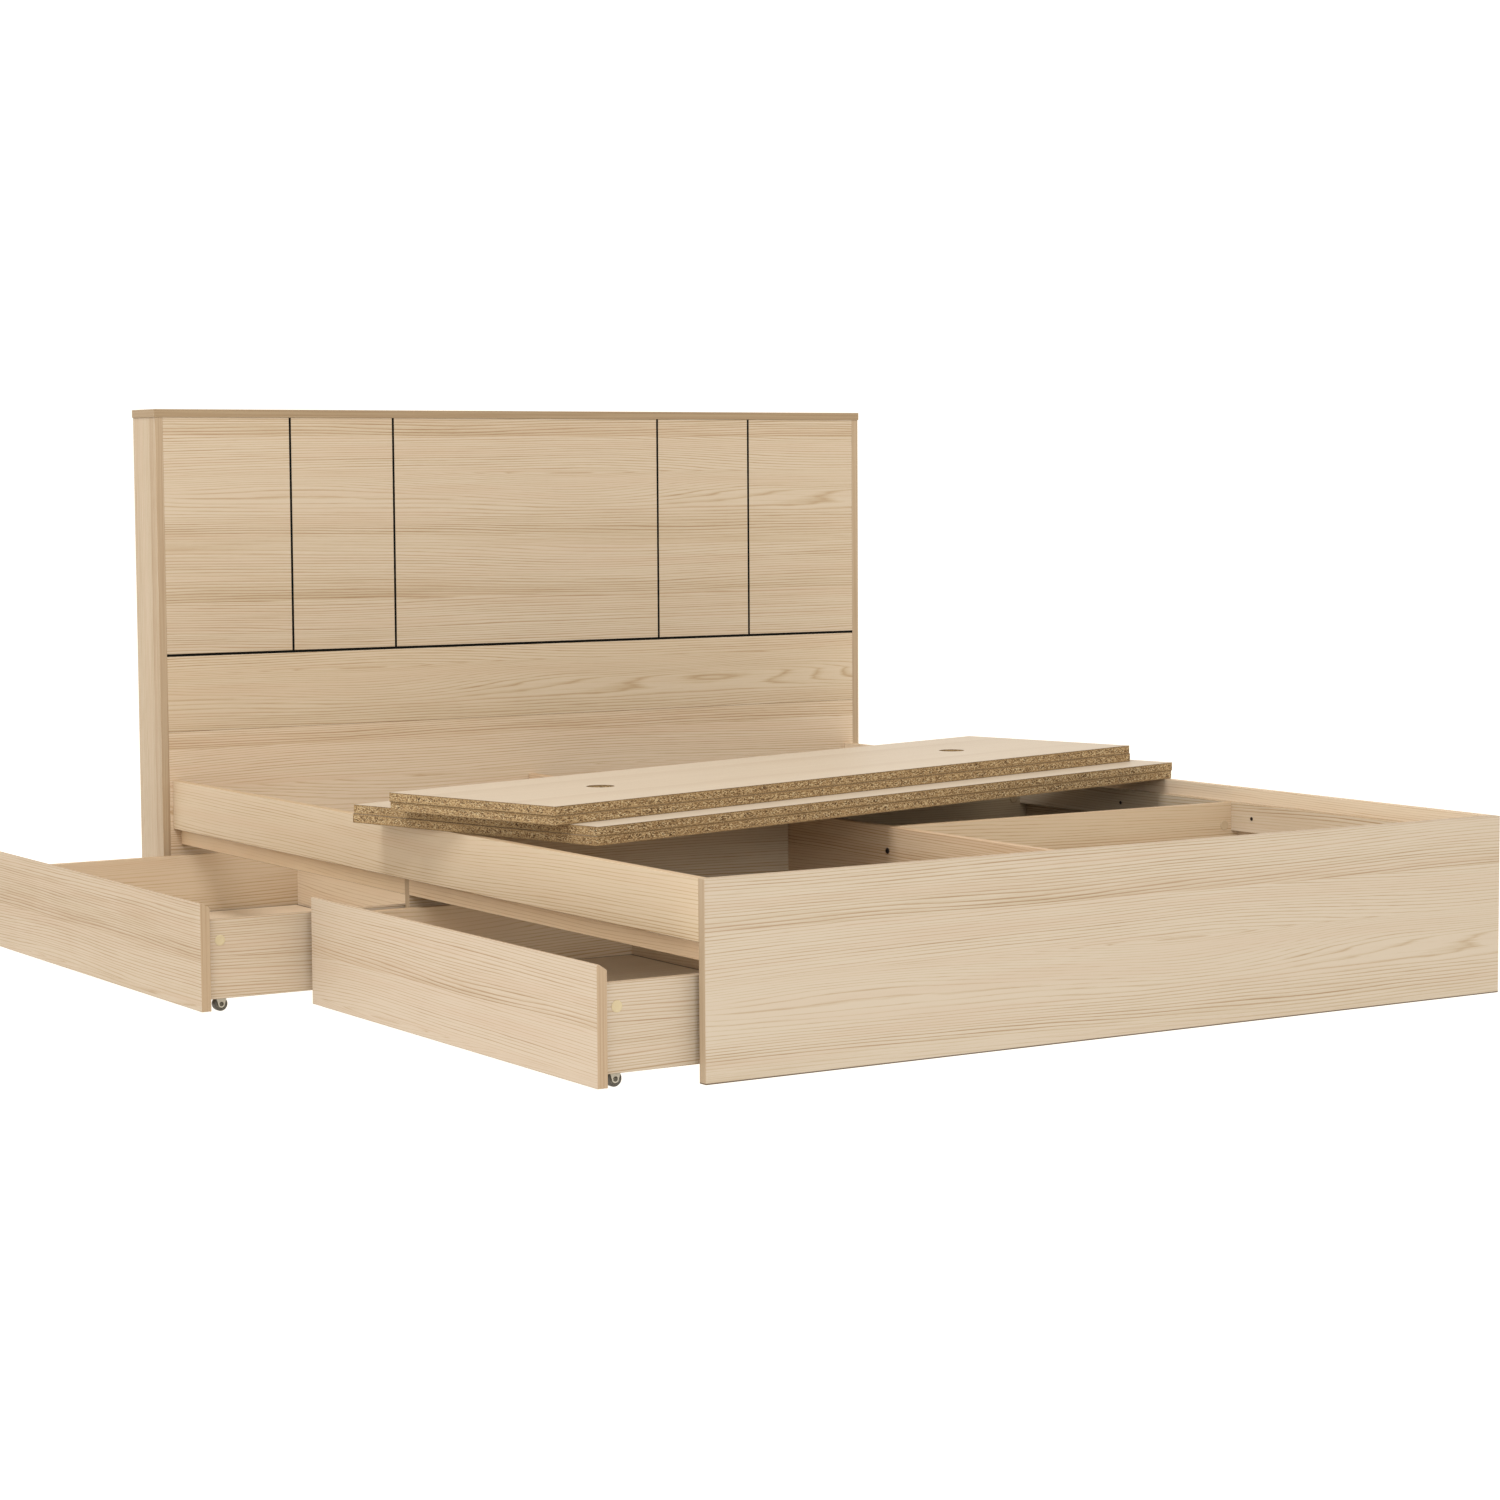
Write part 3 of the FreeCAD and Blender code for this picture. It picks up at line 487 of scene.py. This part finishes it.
def ash_board(name, grain, dark_edge, shift, tone=0.0, pale=0.0, joint_shade=0.0):
    """Wood print on a board's two faces and plain bands on its edges.

    The dark plank of the print ends at dark_edge below the board's top, or from its lower
    side if the board lies flat. The print is shifted along the grain. The tone draws the board
    darker or lighter as painted light and shade. joint_shade is a band of painted shade where
    the board meets its neighbours.
    """
    low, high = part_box(name)
    size = high - low
    thick = min(range(3), key=lambda axis: size[axis])
    along = "XYZ".index(grain)
    wide = 3 - thick - along
    made, net, shader = material("ash_" + name)
    place = net.split(net.add("ShaderNodeTexCoord").outputs["Object"])
    masks, normal = axis_masks(net)
    if wide == 2:
        depth = net.math("SUBTRACT", high[2] - dark_edge, place[2])
    else:
        depth = net.math("SUBTRACT", place[wide], low[wide] + dark_edge)
    spot = net.join(net.math("ADD", place[along], shift), depth, place[thick])
    printed = use_group(net, PRINT, {"Place": spot, "Tone": tone})
    face = printed["Color"]
    if pale:
        face = net.blend(pale, face, seen(*CREAM))
    near = [net.math("MINIMUM", net.math("SUBTRACT", place[axis], low[axis]),
                     net.math("SUBTRACT", high[axis], place[axis])) for axis in (along, wide)]
    face = foil_lines(net, face, net.math("MINIMUM", *near), joint_shade)
    band = edge_band(net, [place[axis] for axis in (along, wide, thick)])
    colour = net.blend(masks[thick], band, face)
    # painted light and shade: the board's colour is scaled by its cast
    if name in LIGHT_SHADE_CASTS:
        colour = net.blend(1.0, colour, LIGHT_SHADE_CASTS[name] + (1,), "MULTIPLY")
    # painted shadow: boards that stand on the floor get a dark line at their foot
    if low[2] < MM:
        colour = contact_shadow_line(net, place[2], colour)
    if thick != 2:
        # the edges that face down are raw board; the limit reaches onto the rounded lower edges as
        # well, so that they draw a thin dark line of painted shade
        under = net.math("LESS_THAN", normal[2], FACES_DOWN)
        share = net.spread(place[thick], low[thick], high[thick], 0.0, 1.0)
        core = use_group(net, CORE, {"Place": net.join(*place), "Share": share})
        colour = net.blend(under, colour, core["Color"])
    net.feed(shader.inputs["Base Color"], colour)
    gloss = net.noise(net.join(*place), scale=GLOSS_IN_A_METRE)
    net.feed(shader.inputs["Roughness"], net.spread(gloss, *NOISE_SPAN, *BOARD_ROUGHNESS))
    shader.inputs["Specular IOR Level"].default_value = BOARD_GLOSS
    bump(net, shader, printed["Height"], PRINT_BUMP_STRENGTH, PRINT_BUMP)
    paint(name, made)


# Camera of the photograph, without lens shift
CAMERA_PLACE = (-3.48353, -5.39437, 0.92171)
CAMERA_YAW = -0.5618
CAMERA_PITCH = -0.0804
CAMERA_ROLL = -0.0061
CAMERA_FOCAL_PIXELS = 3398.0
CAMERA_REACH = 100
PHOTO_WIDTH = 1500
SENSOR = 36.0


def make_camera():
    """The camera that took the photograph, solved from the bed's long edges."""
    data = bpy.data.cameras.new("photo_camera")
    data.sensor_width = SENSOR
    data.sensor_fit = "HORIZONTAL"
    data.lens = CAMERA_FOCAL_PIXELS / PHOTO_WIDTH * SENSOR
    data.clip_end = CAMERA_REACH
    camera = bpy.data.objects.new("photo_camera", data)
    bpy.context.scene.collection.objects.link(camera)
    heading = -CAMERA_YAW
    ahead = Vector((math.sin(heading) * math.cos(CAMERA_PITCH),
                    math.cos(heading) * math.cos(CAMERA_PITCH),
                    math.sin(CAMERA_PITCH)))
    level = Vector((math.cos(heading), -math.sin(heading), 0))
    upward = level.cross(ahead)
    right = level * math.cos(CAMERA_ROLL) + upward * math.sin(CAMERA_ROLL)
    up = upward * math.cos(CAMERA_ROLL) - level * math.sin(CAMERA_ROLL)
    turn = Matrix((right, up, -ahead)).transposed().to_4x4()
    camera.matrix_world = Matrix.Translation(CAMERA_PLACE) @ turn
    bpy.context.scene.camera = camera


make_camera()

# painted shade: the headboard's print is drawn darker than the footboard's
HEADBOARD_SHADE_TONE = 0.12
# name, grain, end of the dark plank, shift along the grain, tone (painted light and shade: a higher
# tone draws the board darker, a lower one lighter)
BOARDS = (
    ("footboard", "X", 0.083, 0.0, 0.0),
    ("rail_left", "Y", -0.236, 0.3, -0.07),
    ("side_panel_right", "Y", 0.100, 1.1, -0.08),
    ("ledge_right", "Y", -0.190, 2.0, 0.0),
    ("apron_foot", "Y", -0.080, 0.7, -0.12),
    ("apron_head", "Y", -0.150, 1.9, -0.12),
    ("center_spine", "Y", 0.060, 2.7, 0.0),
    ("bay_divider", "X", 0.120, 3.1, 0.0),
    ("cross_board_foot", "X", 0.070, 0.9, -0.10),
    ("cross_board_head", "X", 0.150, 4.4, -0.10),
    ("headboard_post_left", "Z", 0.030, 0.2, 0.32),
    ("headboard_post_right", "Z", -0.060, 3.6, 0.32),
    ("headboard_cap", "X", -0.020, 1.4, 0.24),
    ("headboard_upper_panel", "X", 0.037, 0.0, HEADBOARD_SHADE_TONE),
    ("headboard_middle_panel", "X", -0.042, 0.5, HEADBOARD_SHADE_TONE),
    ("headboard_lower_panel", "X", 0.035, 2.2, HEADBOARD_SHADE_TONE),
    ("headboard_rib_left", "Z", 0.020, 1.0, 0.0),
    ("headboard_rib_right", "Z", 0.040, 2.0, 0.0),
    ("headboard_back_rail_top", "X", 0.060, 1.2, 0.0),
    ("headboard_back_rail_bottom", "X", -0.100, 3.2, 0.0),
)
# drawer, shift along the grain, tones of some of its boards, which draw them darker or lighter as
# painted light and shade
DRAWERS = (("drawer_foot", 0.4, {"front": -0.02, "side_foot": 0.12}),
           ("drawer_head", 1.7, {"front": 0.14, "side_foot": 0.18}))
# board of a drawer, grain, end of the dark plank, shift beyond the drawer's own, pale, painted shade
# where it meets its neighbours
DRAWER_BOARDS = (
    ("front", "Y", 0.099, 0.0, 0.0, 0.0),
    ("side_foot", "X", 0.165, 0.9, 0.0, 0.0),
    ("side_head", "X", -0.090, 2.3, 0.0, 0.0),
    ("back", "Y", -0.180, 3.0, 0.0, 0.0),
    ("floor", "X", 0.050, 4.1, 0.3, 0.92),
)

for board in BOARDS:
    ash_board(*board)
for drawer, shift, tones in DRAWERS:
    for part, grain, dark_edge, beyond, pale, joint_shade in DRAWER_BOARDS:
        ash_board(f"{drawer}_{part}", grain, dark_edge, shift + beyond, tones.get(part, 0.0), pale,
                  joint_shade)


# The deck boards' print is paler than the bed's.
DECK_TONE = 0.22
DECK_CREAM = (222, 208, 190)
DECK_CREAM_BLEND = 0.50
DECK_ROUGHNESS = 0.48
DECK_GLOSS = 0.3
DECK_PRINT_RISE = 0.15
CORE_ROUGHNESS = 0.85
CORE_BUMP_STRENGTH = 0.6
CORE_BUMP = 0.5 * MM
# end of the dark plank, shift along the grain, from the first board to the fourth
DECK_BOARDS = ((0.05, 0.0), (0.21, 1.3), (0.33, 2.1), (0.12, 3.7))


def deck_turn(name):
    """Middle and turn of a board that lies askew, read from its own corners."""
    points = [vertex.co for vertex in NODES[name].data.vertices]
    lowest = min(points, key=lambda point: point.y)
    leftmost = min(points, key=lambda point: point.x)
    low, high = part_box(name)
    angle = math.atan2(leftmost.y - lowest.y, leftmost.x - lowest.x) - math.pi / 2
    return (low + high) / 2, angle, low.z, high.z


def deck_board(name, dark_edge, shift):
    """Pale print above and below, raw particle board on the edges and in the finger holes."""
    middle, angle, bottom, top = deck_turn(name)
    made, net, shader = material("deck_" + name)
    local = net.add("ShaderNodeMapping", {
        "Vector": net.add("ShaderNodeTexCoord").outputs["Object"], "Location": middle,
        "Rotation": (0, 0, angle)}, vector_type="TEXTURE").outputs[0]
    x, y, z = net.split(local)
    masks, _ = axis_masks(net)
    spot = net.join(net.math("ADD", x, shift), net.math("SUBTRACT", y, dark_edge), z)
    printed = use_group(net, PRINT, {"Place": spot, "Tone": DECK_TONE})
    face = net.blend(DECK_CREAM_BLEND, printed["Color"], seen(*DECK_CREAM))
    share = net.spread(z, bottom - middle.z, top - middle.z, 0.0, 1.0)
    core = use_group(net, CORE, {"Place": net.join(net.math("ADD", x, shift), y, z), "Share": share})
    net.feed(shader.inputs["Base Color"], net.blend(masks[2], core["Color"], face))
    net.feed(shader.inputs["Roughness"], net.mix(masks[2], CORE_ROUGHNESS, DECK_ROUGHNESS))
    height = net.mix(masks[2], core["Height"],
                     net.math("MULTIPLY", printed["Height"], DECK_PRINT_RISE))
    bump(net, shader, height, CORE_BUMP_STRENGTH, CORE_BUMP)
    shader.inputs["Specular IOR Level"].default_value = DECK_GLOSS
    paint(name, made)


for number, (dark_edge, shift) in enumerate(DECK_BOARDS, start=1):
    deck_board(f"deck_board_{number}", dark_edge, shift)


SMALL_BUMP_STRENGTH = 0.4
SMALL_BUMP = 0.05 * MM
# how far a small part's roughness strays
ROUGH_SPREAD = 0.07


def simple(name, colour, other, scale, rough, metallic=0.0, stretch=(1, 1, 1), gloss=0.5):
    """A small part's material: two close colours in a fine noise, with its bump."""
    made, net, shader = material(name)
    place = net.scale(net.add("ShaderNodeTexCoord").outputs["Object"], stretch)
    grain = net.noise(place, scale=scale, detail=4.0, roughness=FINE_ROUGHNESS)
    net.feed(shader.inputs["Base Color"], net.ramp(grain, tuple(zip(NOISE_SPAN, (colour, other)))))
    net.feed(shader.inputs["Roughness"],
             net.spread(grain, *NOISE_SPAN, rough - ROUGH_SPREAD, rough + ROUGH_SPREAD))
    shader.inputs["Metallic"].default_value = metallic
    shader.inputs["Specular IOR Level"].default_value = gloss
    bump(net, shader, grain, SMALL_BUMP_STRENGTH, SMALL_BUMP)
    return made


INLAY = simple("black_inlay", tint(9, 9, 7), tint(15, 15, 12), 900.0, 0.7, gloss=0.06)
COVER = simple("pale_cover", seen(219, 200, 158), seen(228, 211, 172), 700.0, 0.42)
WOOD_COVER = simple("wood_cover", seen(206, 181, 146), seen(219, 196, 163), 300.0, 0.5,
                    stretch=(1, 1, 6))
ZINC = simple("zinc", tint(176, 172, 160), tint(205, 200, 188), 500.0, 0.35, metallic=1.0)
DARK = simple("dark_steel", tint(38, 31, 27), tint(58, 48, 42), 900.0, 0.4, metallic=0.7)
RIVET = simple("rivet_steel", tint(74, 70, 62), tint(104, 99, 88), 900.0, 0.38, metallic=0.8)
BRACKET = simple("cream_bracket", seen(214, 208, 190), seen(226, 221, 205), 600.0, 0.4)
RUBBER = simple("dark_wheel", tint(58, 55, 49), tint(84, 80, 72), 800.0, 0.55)
HUB = simple("wheel_hub", tint(92, 88, 78), tint(120, 115, 103), 700.0, 0.45)

for name in NODES:
    if name.endswith("inlay_strips"):
        paint(name, INLAY)
    elif name.endswith("cam_fittings"):
        paint(name, ZINC)
    elif name.endswith("caster_brackets"):
        paint(name, BRACKET)


# Small turned pieces
SEGMENTS = 48
CROSS_ARM = 0.26
TINY = 1e-6
WELD_DISTANCE = 1e-6
END_TOLERANCE = 0.2 * MM
SHARP_ANGLE = 35
# Screws and axles: heights along them, and radii as shares of the head's
HEAD_HEIGHT = 1.2 * MM
RECESS = 0.9 * MM
RECESS_FLOOR_SHARE = 0.40
RECESS_RIM_SHARE = 0.62
SCREW_TIP = 3 * MM
DIMPLE = 0.5 * MM
DIMPLE_FLOOR_SHARE = 0.30
DIMPLE_RIM_SHARE = 0.40
AXLE_SHANK_SHARE = 0.62
# Profiles: share of the height, share of the radius
SCREW_HEAD_SHARES = ((0, 0.76), (0.10, 0.88), (0.40, 0.98), (0.60, 1), (1, 1))
AXLE_HEAD_SHARES = ((0, 0.52), (0.22, 0.78), (0.55, 0.95), (0.85, 1), (1, 1))
COVER_SHARES = ((0, 0), (0, 0.985), (0.12, 1), (0.45, 1), (0.75, 0.975), (0.94, 0.93), (1, 0.87),
                (1, 0.62), (0.86, 0.57), (0.80, 0.50), (0.80, 0))
SOCKET_HEAD_SHARES = ((0, 0), (0, 1), (0.75, 1), (0.93, 0.95), (1, 0.85))
# half of a wheel's hub, from the bore to the tyre's seat: share of half the width, of the radius
HUB_SHARES = ((0.94, 0.204), (0.94, 0.40), (0.90, 0.44), (0.66, 0.47), (0.66, 0.63), (0.90, 0.67),
              (0.94, 0.72))
TYRE_SIDE_SHARE = 0.96
TYRE_SHOULDER_SHARE = 0.16
SHOULDER_STEPS = 6
# socket heads on the spine, over bolt heads that stand out by a length between these two
BOLT_HEAD_REACH = (1 * MM, 2 * MM)
SOCKET_HEAD_RADIUS = 5.2 * MM
SOCKET_HEAD_HEIGHT = 2.3 * MM
SOCKET_FLOOR = 1.6 * MM
SOCKET_RIM_SHARE = 0.52
SOCKET_FLOOR_SHARE = 0.50


def islands(name):
    """The vertices of each separate solid in a node's mesh."""
    shape = bmesh.new()
    shape.from_mesh(NODES[name].data)
    bmesh.ops.remove_doubles(shape, verts=shape.verts, dist=WELD_DISTANCE)
    met = set()
    found = []
    for start in shape.verts:
        if start in met:
            continue
        met.add(start)
        waiting = [start]
        part = []
        while waiting:
            vertex = waiting.pop()
            part.append(vertex.co.copy())
            for edge in vertex.link_edges:
                other = edge.other_vert(vertex)
                if other not in met:
                    met.add(other)
                    waiting.append(other)
        found.append(part)
    shape.free()
    return found


def span(points):
    """Lowest and highest corners of some points."""
    low = Vector([min(point[axis] for point in points) for axis in range(3)])
    high = Vector([max(point[axis] for point in points) for axis in range(3)])
    return low, high


def hexagon(angle):
    """A hexagon whose flats lie one unit from its middle."""
    return 1 / math.cos(angle % (math.pi / 3) - math.pi / 6)


def cross(angle):
    """A cross whose arms reach one unit from its middle."""
    across = abs(math.cos(angle)) + TINY
    upright = abs(math.sin(angle)) + TINY
    return max(min(1 / across, CROSS_ARM / upright), min(1 / upright, CROSS_ARM / across))


def scaled(shares, height, radius):
    """The stops of a profile that is written in shares of a height and a radius."""
    return [(along * height, reach * radius) for along, reach in shares]


def turn_profile(shape, profile, origin, axis, closed=False):
    """Turn a profile round an axis.

    Each stop is a distance along the axis, a radius and, where the ring isn't round, its form.
    """
    axis = Vector(axis)
    side = axis.orthogonal().normalized()
    upright = axis.cross(side)
    rings = []
    for along, radius, *forms in profile:
        centre = origin + axis * along
        if radius == 0:
            rings.append([shape.verts.new(centre)])
            continue
        ring = []
        for step in range(SEGMENTS):
            angle = 2 * math.pi * step / SEGMENTS
            reach = radius * forms[0](angle) if forms else radius
            spot = centre + side * (reach * math.cos(angle)) + upright * (reach * math.sin(angle))
            ring.append(shape.verts.new(spot))
        rings.append(ring)
    following = rings[1:] + rings[:1] if closed else rings[1:]
    for first, second in zip(rings, following):
        for step in range(SEGMENTS):
            after = step + 1
            corners = (first[step % len(first)], first[after % len(first)],
                       second[after % len(second)], second[step % len(second)])
            shape.faces.new(list(dict.fromkeys(corners)))


def make_piece(name, shape, made, host, replaced=True):
    """A new piece that rides on the host node's body and may stand for that node."""
    bmesh.ops.recalc_face_normals(shape, faces=shape.faces)
    for face in shape.faces:
        face.smooth = True
    mesh = bpy.data.meshes.new(name)
    shape.to_mesh(mesh)
    shape.free()
    mesh.set_sharp_from_angle(angle=math.radians(SHARP_ANGLE))
    mesh.materials.append(made)
    piece = bpy.data.objects.new(name, mesh)
    bpy.context.scene.collection.objects.link(piece)
    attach(piece, NODES[host].parent.name.split(":")[1])
    if replaced:
        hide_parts(host)


def long_axis(points):
    """Middle of the head's end face, direction to the far end, length, head and shank radius."""
    low, high = span(points)
    size = high - low
    run = max(range(3), key=lambda axis: size[axis])
    middle = (low + high) / 2
    radii = []
    for end in (low[run], high[run]):
        ring = [point - middle for point in points if abs(point[run] - end) < END_TOLERANCE]
        radii.append(max(math.hypot(*[part[axis] for axis in range(3) if axis != run])
                         for part in ring))
    head_low = radii[0] > radii[1]
    start = middle.copy()
    start[run] = low[run] if head_low else high[run]
    direction = Vector((0, 0, 0))
    direction[run] = 1 if head_low else -1
    return start, direction, size[run], max(radii), min(radii)


def screw(shape, points):
    """A screw with a rounded head, a cross recess and a pointed tip."""
    start, direction, length, head, shank = long_axis(points)
    recess = [(RECESS, 0), (RECESS, RECESS_FLOOR_SHARE * head, cross),
              (0, RECESS_RIM_SHARE * head, cross)]
    stem = [(HEAD_HEIGHT, shank), (length - SCREW_TIP, shank), (length, 0)]
    profile = recess + scaled(SCREW_HEAD_SHARES, HEAD_HEIGHT, head) + stem
    turn_profile(shape, profile, start, direction)


def rivet(shape, points):
    """A caster axle with a domed and dimpled head at both ends."""
    low, high = span(points)
    length = high.y - low.y
    head = (high.z - low.z) / 2
    middle = (low + high) / 2
    dimple = [(DIMPLE, 0), (DIMPLE, DIMPLE_FLOOR_SHARE * head), (0, DIMPLE_RIM_SHARE * head)]
    half = dimple + scaled(AXLE_HEAD_SHARES, HEAD_HEIGHT, head)
    half.append((HEAD_HEIGHT, AXLE_SHANK_SHARE * head))
    profile = half + [(length - along, radius) for along, radius in reversed(half)]
    turn_profile(shape, profile, Vector((middle.x, low.y, middle.z)), (0, 1, 0))


# A node with one of these in its name is no board that stands straight.
NOT_STRAIGHT_BOARDS = ("deck_board", "_fittings", "_covers", "_screws", "_axles", "_brackets",
                       "_wheel", "_strips")
STRAIGHT_BOARDS = [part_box(name) for name in NODES
                   if not any(part in name for part in NOT_STRAIGHT_BOARDS)]


def backed(point):
    """Whether a point lies in one of the straight boards."""
    return any(all(low[axis] < point[axis] < high[axis] for axis in range(3))
               for low, high in STRAIGHT_BOARDS)


def cover(shape, points):
    """A snap-in cover with a rounded rim and a shallow sunk middle."""
    low, high = span(points)
    size = high - low
    run = min(range(3), key=lambda axis: size[axis])
    height = size[run]
    radius = max(size) / 2
    outward = Vector((0, 0, 0))
    outward[run] = 1
    middle = (low + high) / 2
    if not backed(middle - outward * 2 * height):
        outward = -outward
    start = middle - outward * height / 2
    turn_profile(shape, scaled(COVER_SHARES, height, radius), start, outward)


def redo_group(name, builder, made):
    """Replace every solid of a node by a finer one."""
    shape = bmesh.new()
    for points in islands(name):
        builder(shape, points)
    make_piece(name + "_detailed", shape, made, name)


def wheel(name):
    """A caster wheel: a rounded tyre on a hub with a sunk web."""
    low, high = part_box(name)
    radius = (high.z - low.z) / 2
    half = (high.y - low.y) / 2
    centre = (low + high) / 2
    side = scaled(HUB_SHARES, half, radius)
    seat = side[-1][1]
    hub = bmesh.new()
    mirrored = [(-along, reach) for along, reach in side]
    turn_profile(hub, mirrored + side[::-1], centre, (0, 1, 0), closed=True)
    make_piece(name + "_hub", hub, HUB, name)
    shoulder = TYRE_SHOULDER_SHARE * radius
    tread = [(-TYRE_SIDE_SHARE * half, seat)]
    for turned in reversed(range(SHOULDER_STEPS + 1)):
        angle = math.pi / 2 * turned / SHOULDER_STEPS
        tread.append((-half + shoulder * (1 - math.sin(angle)),
                      radius - shoulder * (1 - math.cos(angle))))
    tread += [(-along, reach) for along, reach in reversed(tread)]
    tyre = bmesh.new()
    turn_profile(tyre, tread, centre, (0, 1, 0), closed=True)
    make_piece(name + "_tyre", tyre, RUBBER, name)


def spine_bolt_heads():
    """Socket heads over the plain bolt heads on the spine's left face."""
    left_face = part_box("center_spine")[0].x
    head = SOCKET_HEAD_RADIUS
    socket = [(SOCKET_HEAD_HEIGHT, SOCKET_RIM_SHARE * head, hexagon),
              (SOCKET_FLOOR, SOCKET_FLOOR_SHARE * head, hexagon), (SOCKET_FLOOR, 0)]
    profile = scaled(SOCKET_HEAD_SHARES, SOCKET_HEAD_HEIGHT, head) + socket
    shape = bmesh.new()
    for points in islands("frame_cam_fittings"):
        low, high = span(points)
        if BOLT_HEAD_REACH[0] < left_face - low.x < BOLT_HEAD_REACH[1]:
            centre = Vector((left_face, (low.y + high.y) / 2, (low.z + high.z) / 2))
            turn_profile(shape, profile, centre, (-1, 0, 0))
    make_piece("spine_bolt_heads", shape, DARK, "center_spine", replaced=False)


for name in list(NODES):
    if name.endswith("cam_covers"):
        redo_group(name, cover, COVER if name.startswith("drawer") else WOOD_COVER)
    elif name.endswith(("side_screws", "back_screws")):
        redo_group(name, screw, DARK)
    elif name.endswith("caster_screws"):
        redo_group(name, screw, ZINC)
    elif name.endswith("caster_axles"):
        redo_group(name, rivet, RIVET)
    elif "_wheel_" in name:
        wheel(name)
spine_bolt_heads()


# Studio
SKY_LOW = 1.12
SKY_HIGH = 0.74
SKY_BEND = 0.16
# The studio's even light is warmer than its main lamp, so shadows look warm.
EVEN_TINT = (1.10, 1.04, 0.95, 1)
LAMP_TINT = (0.95, 0.97, 1.0)
LAMP_TARGET = (0, 0, 0.3)
# name, place, size, power
LAMPS = (
    ("key_light", (-3.4, -0.9, 6.5), (2.5, 2.1), 300),
    ("front_light", (-2.4, -7.5, 2.6), (3.0, 2.0), 130),
)
# The open floor glows, so no shadow greys it. Under the bed it only reflects.
FLOOR_GLOW = 1.04
FLOOR_LEVEL = 0.12
UNDER_LEVELS = (0.34, 0.40)
UNDER_MARGIN = 0.20
UNDER_FADE = 0.35
# The glow ends within the right panel's thickness and the headboard's depth, so none comes up
# beside them.
FAR_STEEPNESS = 20
FLOOR_SIZE = 60
FLOOR_GRAIN_IN_A_METRE = 3.0
FLOOR_ROUGHNESS = 0.8
FLOOR_GLOSS = 0.1


def make_floor():
    """A plain pale floor that glows softly outside the bed's footprint."""
    bpy.ops.mesh.primitive_plane_add(size=FLOOR_SIZE)
    floor = bpy.context.object
    floor.name = "floor"
    made, net, shader = material("pale_floor")
    place = net.add("ShaderNodeTexCoord").outputs["Object"]
    along = net.split(place)
    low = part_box("rail_left")[0] + Vector((UNDER_MARGIN, UNDER_MARGIN, 0))
    high = (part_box("side_panel_right")[1].x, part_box("headboard_post_right")[1].y)
    inside = []
    for axis in range(2):
        far = net.math("MULTIPLY", net.math("SUBTRACT", high[axis], along[axis]), FAR_STEEPNESS)
        inside.append(net.math("MINIMUM", net.math("SUBTRACT", along[axis], low[axis]), far))
    under = net.add("ShaderNodeMapRange", {0: net.math("MINIMUM", *inside), 2: UNDER_FADE},
                    interpolation_type="SMOOTHSTEP").outputs[0]
    grain = net.noise(place, scale=FLOOR_GRAIN_IN_A_METRE)
    reflecting = net.ramp(grain, tuple(enumerate(UNDER_LEVELS)))
    net.feed(shader.inputs["Base Color"], net.blend(under, (FLOOR_LEVEL,) * 3 + (1,), reflecting))
    shader.inputs["Emission Color"].default_value = EVEN_TINT
    net.feed(shader.inputs["Emission Strength"],
             net.math("MULTIPLY_ADD", under, -FLOOR_GLOW, FLOOR_GLOW))
    shader.inputs["Roughness"].default_value = FLOOR_ROUGHNESS
    shader.inputs["Specular IOR Level"].default_value = FLOOR_GLOSS
    floor.data.materials.append(made)


def make_lamp(name, place, size, power):
    """A soft rectangular lamp that looks at the bed."""
    data = bpy.data.lights.new(name, "AREA")
    data.color = LAMP_TINT
    data.shape = "RECTANGLE"
    data.size, data.size_y = size
    data.energy = power
    lamp = bpy.data.objects.new(name, data)
    lamp.location = place
    lamp.rotation_euler = (Vector(LAMP_TARGET) - Vector(place)).to_track_quat("-Z", "Y").to_euler()
    bpy.context.scene.collection.objects.link(lamp)


def make_world():
    """A white studio that is brighter round the sides than overhead."""
    world = bpy.data.worlds.new("studio")
    bpy.context.scene.world = world
    world.use_nodes = True
    net = Net(world.node_tree)
    background = world.node_tree.nodes["Background"]
    background.inputs["Color"].default_value = EVEN_TINT
    rise = net.split(net.add("ShaderNodeTexCoord").outputs["Generated"])[2]
    net.feed(background.inputs["Strength"], net.spread(rise, SKY_BEND, 1.0, SKY_LOW, SKY_HIGH))


make_floor()
make_world()
for lamp in LAMPS:
    make_lamp(*lamp)
bpy.context.scene.view_settings.view_transform = "Standard"
